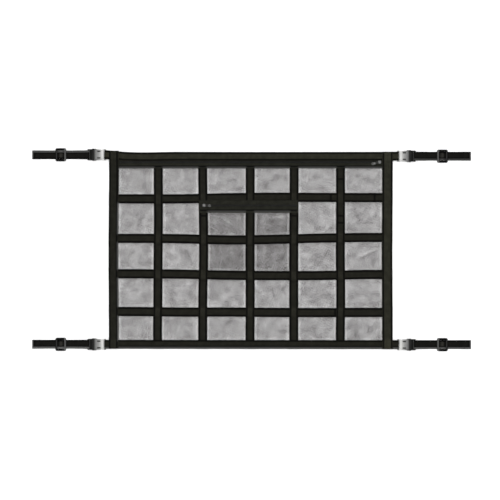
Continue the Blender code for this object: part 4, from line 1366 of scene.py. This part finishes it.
def plate(outlines, thickness, middle, rounding=0.0, steps=3):
    """A flat plate as a loose mesh object: the first outline is its edge, the rest are holes."""
    curve = bpy.data.curves.new("plate", 'CURVE')
    curve.dimensions = '2D'
    curve.fill_mode = 'BOTH'
    curve.extrude = thickness / 2 - rounding
    curve.bevel_depth = rounding
    curve.bevel_resolution = steps
    curve.offset = -rounding
    for outline in outlines:
        spline = curve.splines.new('POLY')
        spline.points.add(len(outline) - 1)
        for point, (x, y) in zip(spline.points, outline):
            point.co = (x, y, 0, 1)
        spline.use_cyclic_u = True
    guide = bpy.data.objects.new("plate", curve)
    bpy.context.scene.collection.objects.link(guide)
    depsgraph = bpy.context.evaluated_depsgraph_get()
    mesh = bpy.data.meshes.new_from_object(guide.evaluated_get(depsgraph))
    bpy.data.objects.remove(guide)
    bm = bmesh.new()
    bm.from_mesh(mesh)
    bmesh.ops.remove_doubles(bm, verts=bm.verts, dist=WELD)
    bmesh.ops.recalc_face_normals(bm, faces=bm.faces)
    bmesh.ops.translate(bm, verts=bm.verts, vec=(0, 0, middle))
    bm.to_mesh(mesh)
    bm.free()
    return loose(mesh)


def loose(mesh):
    obj = bpy.data.objects.new("loose", mesh)
    bpy.context.scene.collection.objects.link(obj)
    return obj


def combined(base, joined=(), cut=()):
    """One mesh from loose objects: base with some joined on, then others cut away."""
    operands = [(obj, 'UNION') for obj in joined] + [(obj, 'DIFFERENCE') for obj in cut]
    for operand, operation in operands:
        boolean = base.modifiers.new("Boolean", 'BOOLEAN')
        boolean.operation = operation
        boolean.solver = 'EXACT'
        boolean.object = operand
    depsgraph = bpy.context.evaluated_depsgraph_get()
    mesh = bpy.data.meshes.new_from_object(base.evaluated_get(depsgraph))
    for obj in [base] + [operand for operand, _ in operands]:
        bpy.data.objects.remove(obj)
    mesh.materials.clear()
    return mesh


SECTION_POINTS = 28
SECTION_SQUARENESS = 4.5


def loft(table, middle, points=SECTION_POINTS, squareness=SECTION_SQUARENESS, parts=3):
    """A body along X from a table of half widths and half heights, each section a soft square."""
    knots = np.array(table["out"]) * MM
    finer = np.concatenate([np.linspace(a, b, parts, endpoint=False)
                            for a, b in zip(knots, knots[1:])] + [knots[-1:]])
    widths = np.interp(finer, knots, np.array(table["half_width"]) * MM)
    heights = np.interp(finer, knots, np.array(table["half_height"]) * MM)
    angles = 2 * math.pi * np.arange(points) / points
    power = 2 / squareness
    y = np.sign(np.cos(angles)) * np.abs(np.cos(angles)) ** power
    z = np.sign(np.sin(angles)) * np.abs(np.sin(angles)) ** power
    rings = np.stack([np.broadcast_to(finer[:, None], (len(finer), points)),
                      widths[:, None] * y[None], middle + heights[:, None] * z[None]], axis=-1)
    bm = bmesh.new()
    verts = [[bm.verts.new(point) for point in ring] for ring in rings.tolist()]
    for here, there in zip(verts, verts[1:]):
        for i in range(points):
            j = (i + 1) % points
            bm.faces.new((here[i], here[j], there[j], there[i]))
    bm.faces.new(list(reversed(verts[0])))
    bm.faces.new(verts[-1])
    bmesh.ops.recalc_face_normals(bm, faces=bm.faces)
    mesh = bpy.data.meshes.new("loft")
    bm.to_mesh(mesh)
    bm.free()
    return loose(mesh)


# Female half: a raised band at its neck, a slightly lower top and a lip round its mouth
FEMALE_BODY = {
    "out": (6.6, 7.4, 9.0, 10.2, 11.4, 15.4, 16.4, 20.0, 25.0, 28.0, 29.4, 31.4, 32.5),
    "half_width": (10.2, 11.0, 12.2, 13.0, 13.7, 14.6, 14.7, 14.8, 14.9, 16.2, 16.8, 17.0, 16.5),
    "half_height": (1.6, 2.4, 3.5, 4.2, 4.5, 4.5, 4.1, 3.95, 3.9, 3.85, 4.3, 4.35, 3.9),
}
# Male half: its shoulder, with two small ridges behind its crown
SHOULDER = {
    "out": (32.8, 33.4, 34.4, 35.2, 35.7, 36.4, 37.0, 37.6, 38.2, 38.8, 39.5),
    "half_width": (16.2, 16.9, 17.0, 17.0, 16.8, 17.0, 16.8, 17.0, 16.8, 16.7, 15.6),
    "half_height": (3.9, 4.4, 4.5, 4.45, 3.8, 4.4, 3.7, 4.2, 3.5, 3.4, 2.4),
}
# Male half: the grip behind its shoulder, with three ridges across
GRIP = {
    "out": (37.0, 39.6, 40.3, 41.2, 42.1, 43.0, 43.9, 44.8, 45.7, 46.4, 46.8),
    "half_width": (13.6, 13.6, 13.8, 14.0, 13.8, 14.0, 13.8, 14.0, 13.8, 13.8, 13.4),
    "half_height": (2.4, 2.4, 2.9, 3.2, 2.3, 3.2, 2.3, 3.2, 2.3, 2.9, 2.4),
}
# Male half: outline of one side of its tongue, from the middle prong's tip round the spring arm
TONGUE = {
    "out": (16.0, 17.5, 31.5, 31.5, 15.0, 13.5, 15.5, 21.5, 23.0, 31.5, 32.5, 35.8),
    "half_width": (2.0, 3.2, 3.2, 7.6, 7.6, 9.2, 13.0, 13.0, 11.2, 11.2, 13.0, 13.0),
}


def female_half():
    """A hollow body open at its mouth, with two windows and a loop for the webbing."""
    middle = BUCKLE_HEIGHT / 2
    slot_end = BAR_WIDTH + FEMALE_SLOT
    body = loft(FEMALE_BODY, middle)
    ring = plate([rectangle(0, slot_end + LOOP_ROOT, LOOP_WIDTH, LOOP_CORNER),
                  rectangle(BAR_WIDTH, slot_end, SLOT_WIDTH, SLOT_CORNER)],
                 BAR_HEIGHT, middle, LOOP_ROUNDING)
    cavity = plate([rectangle(CAVITY_START, FEMALE_LENGTH + CUT_PAST, CAVITY_WIDTH, CAVITY_CORNER)],
                   CAVITY_HEIGHT, middle)
    windows = [plate([rectangle(WINDOW_START, WINDOW_END, WINDOW_WIDTH, WINDOW_CORNER, offset)],
                     BUCKLE_HEIGHT + CUT_PAST, middle) for offset in (-WINDOW_OFFSET, WINDOW_OFFSET)]
    return combined(body, joined=[ring], cut=[cavity] + windows)


def male_half():
    """A shoulder and grip with a tongue of three prongs inside and a loop for the strap."""
    middle = BUCKLE_HEIGHT / 2
    shoulder_end = FEMALE_LENGTH + GAP + SHOULDER_LENGTH
    slot_end = MALE_END - BAR_WIDTH
    half = [(out * MM, width * MM) for out, width in zip(TONGUE["out"], TONGUE["half_width"])]
    tongue = plate([half + [(x, -y) for x, y in reversed(half)]], TONGUE_HEIGHT, middle,
                   TONGUE_ROUNDING)
    ring = plate([rectangle(shoulder_end - LOOP_ROOT, MALE_END, LOOP_WIDTH, LOOP_CORNER),
                  rectangle(slot_end - MALE_SLOT, slot_end, SLOT_WIDTH, SLOT_CORNER)],
                 BAR_HEIGHT, middle, LOOP_ROUNDING)
    return combined(loft(SHOULDER, middle), joined=[tongue, ring, loft(GRIP, middle)])


def tri_glide():
    """A flat frame with a bar across its middle and small grip teeth along its inner end."""
    start = GLIDE_MIDDLE - GLIDE_LENGTH / 2
    slot = (GLIDE_LENGTH - 3 * GLIDE_BAR) / 2
    slots = []
    for slot_start in (start + GLIDE_BAR, start + 2 * GLIDE_BAR + slot):
        slots.append(rectangle(slot_start, slot_start + slot, SLOT_WIDTH, GLIDE_SLOT_CORNER))
    height = LAYER + GLIDE_HEIGHT / 2
    body = plate([rectangle(start, start + GLIDE_LENGTH, GLIDE_WIDTH, GLIDE_CORNER)] + slots,
                 GLIDE_HEIGHT, height, GLIDE_ROUNDING)
    notches = []
    for i in range(NOTCHES):
        middle = (i - (NOTCHES - 1) / 2) * NOTCH_PITCH
        notch = rectangle(start - CUT_PAST, start + NOTCH_DEPTH, NOTCH_WIDTH, 0, middle)
        notches.append(plate([notch], GLIDE_HEIGHT + CUT_PAST, height))
    return combined(body, cut=notches)


def corner_matrix(side, y):
    turn = 0 if side > 0 else math.pi
    return Matrix.Translation((side * BUCKLE_START, y, 0)) @ Matrix.Rotation(turn, 4, 'Z')


def strap_path():
    """Path of a hanging strap, outwards from its lap under the male half to its hem."""
    floor = HALF_SHEET
    raised = HEM_RISE + HALF_SHEET
    lap_end = MALE_END + LAP_LENGTH
    lap_step = lap_end + STEP_MARGIN
    slot_reach = GLIDE_LENGTH / 2 - GLIDE_BAR - GLIDE_CLEAR
    bar_reach = GLIDE_BAR / 2 + GLIDE_CLEAR
    over_bar = LAYER + GLIDE_HEIGHT + GAP + HALF_SHEET
    hem_start = STRAP_END - HEM_LENGTH
    hem_step = hem_start - STEP_MARGIN
    fold = HEM_RISE / 2
    fold_x = STRAP_END - HALF_SHEET - fold
    path = [(lap_end, floor), (MALE_END + STEP_RAMP, floor), (MALE_END + GAP, BAR_BOTTOM)]
    path += list(reversed(bar_turn(MALE_END - BAR_WIDTH, -1)))
    path += [(MALE_END + GAP, BAR_TOP), (MALE_END + LAP_FALL, raised), (lap_step, raised),
             (lap_step + STEP_RAMP, floor), (GLIDE_MIDDLE - slot_reach, floor),
             (GLIDE_MIDDLE - bar_reach, over_bar), (GLIDE_MIDDLE + bar_reach, over_bar),
             (GLIDE_MIDDLE + slot_reach, floor), (hem_step - STEP_RAMP, floor), (hem_step, raised)]
    for i in range(HEM_STEPS + 1):
        angle = math.pi / 2 - math.pi * i / HEM_STEPS
        path.append((fold_x + fold * math.cos(angle), floor + fold + fold * math.sin(angle)))
    path.append((hem_start, floor))
    return path


# Painted highlight on the strap over the tri-glide's bar, mostly on the side by the net, and a painted
# shade line and a painted highlight at the hem's fold, measured back from the strap's end
OVER_BAR_HIGHLIGHT = 8.0
HUMP_LEAN = 1.0 * MM
HEM_SHADE_BACK = 6.5 * MM
HEM_FOLD_SHADE = -1.7
HEM_HIGHLIGHT_LENGTH = 2.0 * MM
HEM_FOLD_HIGHLIGHT = 0.7
# Rows sewn across the strap: at its hem, and where its lap starts to lie flat and ends
HEM_ROW_INSET = 2.5 * MM
LAP_ROW_START = 14.0 * MM
LAP_ROW_INSET = 3.0 * MM


def build_corners():
    """At each corner: both buckle halves, the tri-glide and the strap, from one set of meshes."""
    female = female_half()
    male = male_half()
    glide = tri_glide()
    path = refined(strap_path(), PLACES_PITCH)
    middle = on_x(path, lambda x: np.zeros(len(x)))
    lengths = lengths_along(middle[0])

    def hidden(places):
        x, z = places[:, 0], places[:, 2]
        in_glide = np.abs(x - GLIDE_MIDDLE) < GLIDE_LENGTH / 2 + SHEET
        return in_glide | ((z < LAYER) & (x < MALE_END + LAP_LENGTH + SHEET))

    from_bar = np.abs(path[:, 0] - GLIDE_MIDDLE + HUMP_LEAN)
    painted_light = OVER_BAR_HIGHLIGHT * np.interp(from_bar, (GLIDE_BAR / 2, GLIDE_BAR), (1, 0))
    near_fold = np.abs(path[:, 0] - STRAP_END + HEM_SHADE_BACK) < PLACES_PITCH / 2
    painted_light = np.where(near_fold & (path[:, 1] > LAYER), HEM_FOLD_SHADE, painted_light)
    end_highlight = np.where(path[:, 0] > STRAP_END - HEM_HIGHLIGHT_LENGTH, HEM_FOLD_HIGHLIGHT, 0.0)
    tops = np.where(middle[0][:, 2] > LAYER, middle[0][:, 0], 0)
    sewn_at = (STRAP_END - HEM_LENGTH + HEM_ROW_INSET, MALE_END + LAP_ROW_START,
               MALE_END + LAP_LENGTH - LAP_ROW_INSET)
    across_at = [lengths[int(np.argmin(np.abs(tops - row)))] for row in sewn_at]
    for corner, (side, y) in CORNERS.items():
        matrix = corner_matrix(side, y)
        add_piece(f"buckle_female_{corner}_shell", female, GREY_PLASTIC,
                  (f"buckle_female_{corner}",), matrix, PLASTIC_SHARP)
        add_piece(f"buckle_male_{corner}_shell", male, MALE_PLASTIC,
                  (f"buckle_male_{corner}",), matrix, PLASTIC_SHARP)
        add_piece(f"tri_glide_{corner}_frame", glide, GLIDE_PLASTIC,
                  (f"tri_glide_{corner}",), matrix, PLASTIC_SHARP)
        web(f"strap_{corner}", middle, STRAP_WIDTH, WEBBING_STRAP, hidden=hidden, painted_light=painted_light,
            across_at=across_at, matrix=matrix, end_highlight=end_highlight)


# Zip sliders and pulls

ZIPS = {
    "pocket_zip": {"x": -133.6 * MM, "y": POCKET_ZIP_Y, "z": 6 * LAYER,
                   "turn": -3.0, "fall": 9.0, "length": 19.0 * MM},
    "top_zip": {"x": 360.8 * MM, "y": TOP_ZIP_Y, "z": 3 * LAYER,
                "turn": 195.0, "fall": 4.0, "length": 23.0 * MM},
}
SLIDER_PLATE = 1.2 * MM
SLIDER_SECTION = {"points": 24, "squareness": 3.2}
SLIDER_BODY = {
    "out": (-5.0, -4.4, -3.2, -1.0, 1.5, 3.4, 4.5, 5.0),
    "half_width": (2.6, 3.6, 4.3, 4.5, 4.2, 3.9, 3.5, 2.7),
    "half_height": (0.3, 0.5, 0.6, 0.6, 0.6, 0.6, 0.5, 0.3),
}
BRIDGE_LENGTH = 6.8 * MM
BRIDGE_WIDTH = 1.8 * MM
BRIDGE_CLEAR = 2.2 * MM
BRIDGE_BAR = 1.0 * MM
BRIDGE_LEG = 1.2 * MM
BRIDGE_CORNER = 0.9 * MM
BRIDGE_STEPS = 4
BRIDGE_ROUNDING = 0.2 * MM
PULL_THICKNESS = 1.0 * MM
PULL_WIDTH = 7.5 * MM
PULL_BEND = 6.0 * MM
PULL_ROUNDING = 0.25 * MM
# One side of a pull, in mm: places from the bridge's middle, then back from the tip, and how far
# in from its full half width it is there
PULL_HEAD_SIDE = {"at": (-0.9, -0.4, 0.6, 6.0, 8.5), "inset": (1.4, 0.5, 0.0, 0.0, 1.05)}
PULL_TIP_SIDE = {"before_tip": (6.0, 3.0, 1.2, 0.3, 0.0), "inset": (0.55, 0.0, 0.5, 1.4, 2.4)}
EYE_START = 1.1 * MM
EYE_END = 5.2 * MM
EYE_WIDTH = 4.2 * MM
EYE_CORNER = 0.8 * MM
TIP_HOLE = {"before_tip": (4.6 * MM, 2.0 * MM), "width": 3.0 * MM, "corner": 1.2 * MM}
FINE_STEPS = 2


def zip_slider():
    """A slider's crowned plate with its bridge, about the plate's middle and on its underside."""
    base = loft(SLIDER_BODY, SLIDER_PLATE / 2, **SLIDER_SECTION)
    half = BRIDGE_LENGTH / 2
    inner = half - BRIDGE_LEG
    foot = SLIDER_PLATE / 2
    under = SLIDER_PLATE + BRIDGE_CLEAR
    top = under + BRIDGE_BAR
    corner = BRIDGE_CORNER
    arch = []
    for turn, x in ((0, half - corner), (1, -half + corner)):
        for i in range(BRIDGE_STEPS + 1):
            angle = math.pi / 2 * (turn + i / BRIDGE_STEPS)
            arch.append((x + corner * math.cos(angle), top - corner + corner * math.sin(angle)))
    outline = [(inner, foot), (half, foot)] + arch + [(-half, foot), (-inner, foot),
                                                      (-inner, under), (inner, under)]
    bridge = plate([outline], BRIDGE_WIDTH, 0, BRIDGE_ROUNDING, FINE_STEPS)
    bridge.data.transform(Matrix.Rotation(math.pi / 2, 4, 'X'))
    return combined(base, joined=[bridge])


def zip_pull(length, fall):
    """A pull with its eye round the bridge, a hole near its tip, and rounded shoulders and tip."""
    half = PULL_WIDTH / 2
    side = [(at * MM, half - inset * MM) for at, inset in zip(*PULL_HEAD_SIDE.values())]
    side += [(length - before * MM, half - inset * MM)
             for before, inset in zip(*PULL_TIP_SIDE.values())]
    outline = side + [(x, -y) for x, y in reversed(side)]
    hole_start, hole_end = (length - before for before in TIP_HOLE["before_tip"])
    tip_hole = rectangle(hole_start, hole_end, TIP_HOLE["width"], TIP_HOLE["corner"])
    pull = plate([outline, rectangle(EYE_START, EYE_END, EYE_WIDTH, EYE_CORNER), tip_hole],
                 PULL_THICKNESS, SLIDER_PLATE + BRIDGE_CLEAR / 2, PULL_ROUNDING, FINE_STEPS)
    for vert in pull.data.vertices:
        vert.co.z -= max(0.0, vert.co.x - PULL_BEND) * math.tan(math.radians(fall))
    return combined(pull)


def build_sliders():
    for name, row in ZIPS.items():
        place = Matrix.Translation((row["x"], row["y"], row["z"]))
        slider_turn = Matrix.Rotation(math.pi * round(row["turn"] / 180), 4, 'Z')
        pull_turn = Matrix.Rotation(math.radians(row["turn"]), 4, 'Z')
        add_piece(f"{name}_slider_body", zip_slider(), METAL,
                  (f"{name}_slider",), place @ slider_turn, METAL_SHARP)
        add_piece(f"{name}_pull_tab", zip_pull(row["length"], row["fall"]), METAL,
                  (f"{name}_pull",), place @ pull_turn, METAL_SHARP)


# Painted highlights and shade along the plastic parts, as grey factors at places in mm outwards from
# the buckle's webbing bar
FEMALE_PAINTED_LIGHT = {"at": (0.0, 5.5, 6.5, 8.0, 10.5, 13.0, 16.0, 19.0, 22.0, 25.0, 27.5, 30.0, 33.0),
                 "shade": (0.2, 0.25, 0.85, 0.85, 0.82, 0.58, 0.48, 0.32, 0.24, 0.205, 0.155,
                           0.11, 0.06)}
MALE_PAINTED_LIGHT = {"at": (32.0, 38.0, 42.0, 44.2, 45.2, 46.8, 47.4, 53.0),
               "shade": (0.67, 0.4, 0.24, 0.26, 0.9, 0.9, 0.12, 0.1)}
GLIDE_PAINTED_LIGHT = {"at": (112.0, 118.4, 119.4, 138.0, 139.0, 141.0, 142.0, 144.0),
                "shade": (1.0, 1.0, 0.04, 0.04, 0.3, 0.3, 0.04, 0.04)}

WEBBING_WEAVE = {"rib": 1.25 * MM, "pick": 2.5 * MM, "bump": 0.22 * MM}
TAPE_WEAVE = {"rib": 0.7 * MM, "pick": 1.4 * MM, "bump": 0.12 * MM}
WEBBING = woven("webbing_black", (0.0110, 0.0107, 0.0080), (0.0044, 0.0043, 0.0032),
                **WEBBING_WEAVE)
# A lighter copy of the webbing, used for the right side web and the top web
WEBBING_LIGHT = woven("webbing_side", (0.0185, 0.0183, 0.0130), (0.0084, 0.0082, 0.0058),
                      **WEBBING_WEAVE)
WEBBING_STRAP = woven("webbing_strap", (0.0058, 0.0056, 0.0048), (0.0022, 0.0022, 0.0019),
                      **WEBBING_WEAVE)
TAPE = woven("zip_tape_black", (0.0136, 0.0138, 0.0104), (0.0068, 0.0068, 0.0050), **TAPE_WEAVE)
THREAD = thread("thread_black", (0.004, 0.004, 0.0036))
COIL = moulded("coil_black", (0.008, 0.008, 0.008), 0.5, 0.2, 0.1)
GREY_PLASTIC = moulded("plastic_silver_grey", (0.58, 0.58, 0.565), 0.3, 0.05, 0.4, FEMALE_PAINTED_LIGHT)
MALE_PLASTIC = moulded("plastic_black_grip", (0.036, 0.036, 0.035), 0.55, 0.15, 0.02, MALE_PAINTED_LIGHT)
GLIDE_PLASTIC = moulded("plastic_black", (0.066, 0.066, 0.064), 0.5, 0.15, 0.02, GLIDE_PAINTED_LIGHT)
METAL = plated("plated_dark", (0.018, 0.018, 0.017), (0.13, 0.13, 0.127))
ALL_CREASES = main_creases() + small_creases(np.random.default_rng(SEED))

add_stage()
build_panels()
build_cross_webs()
build_upright_webs()
build_side_webs()
build_edge_webs()
build_top_zip()
build_pocket_zip()
build_sliders()
build_corners()
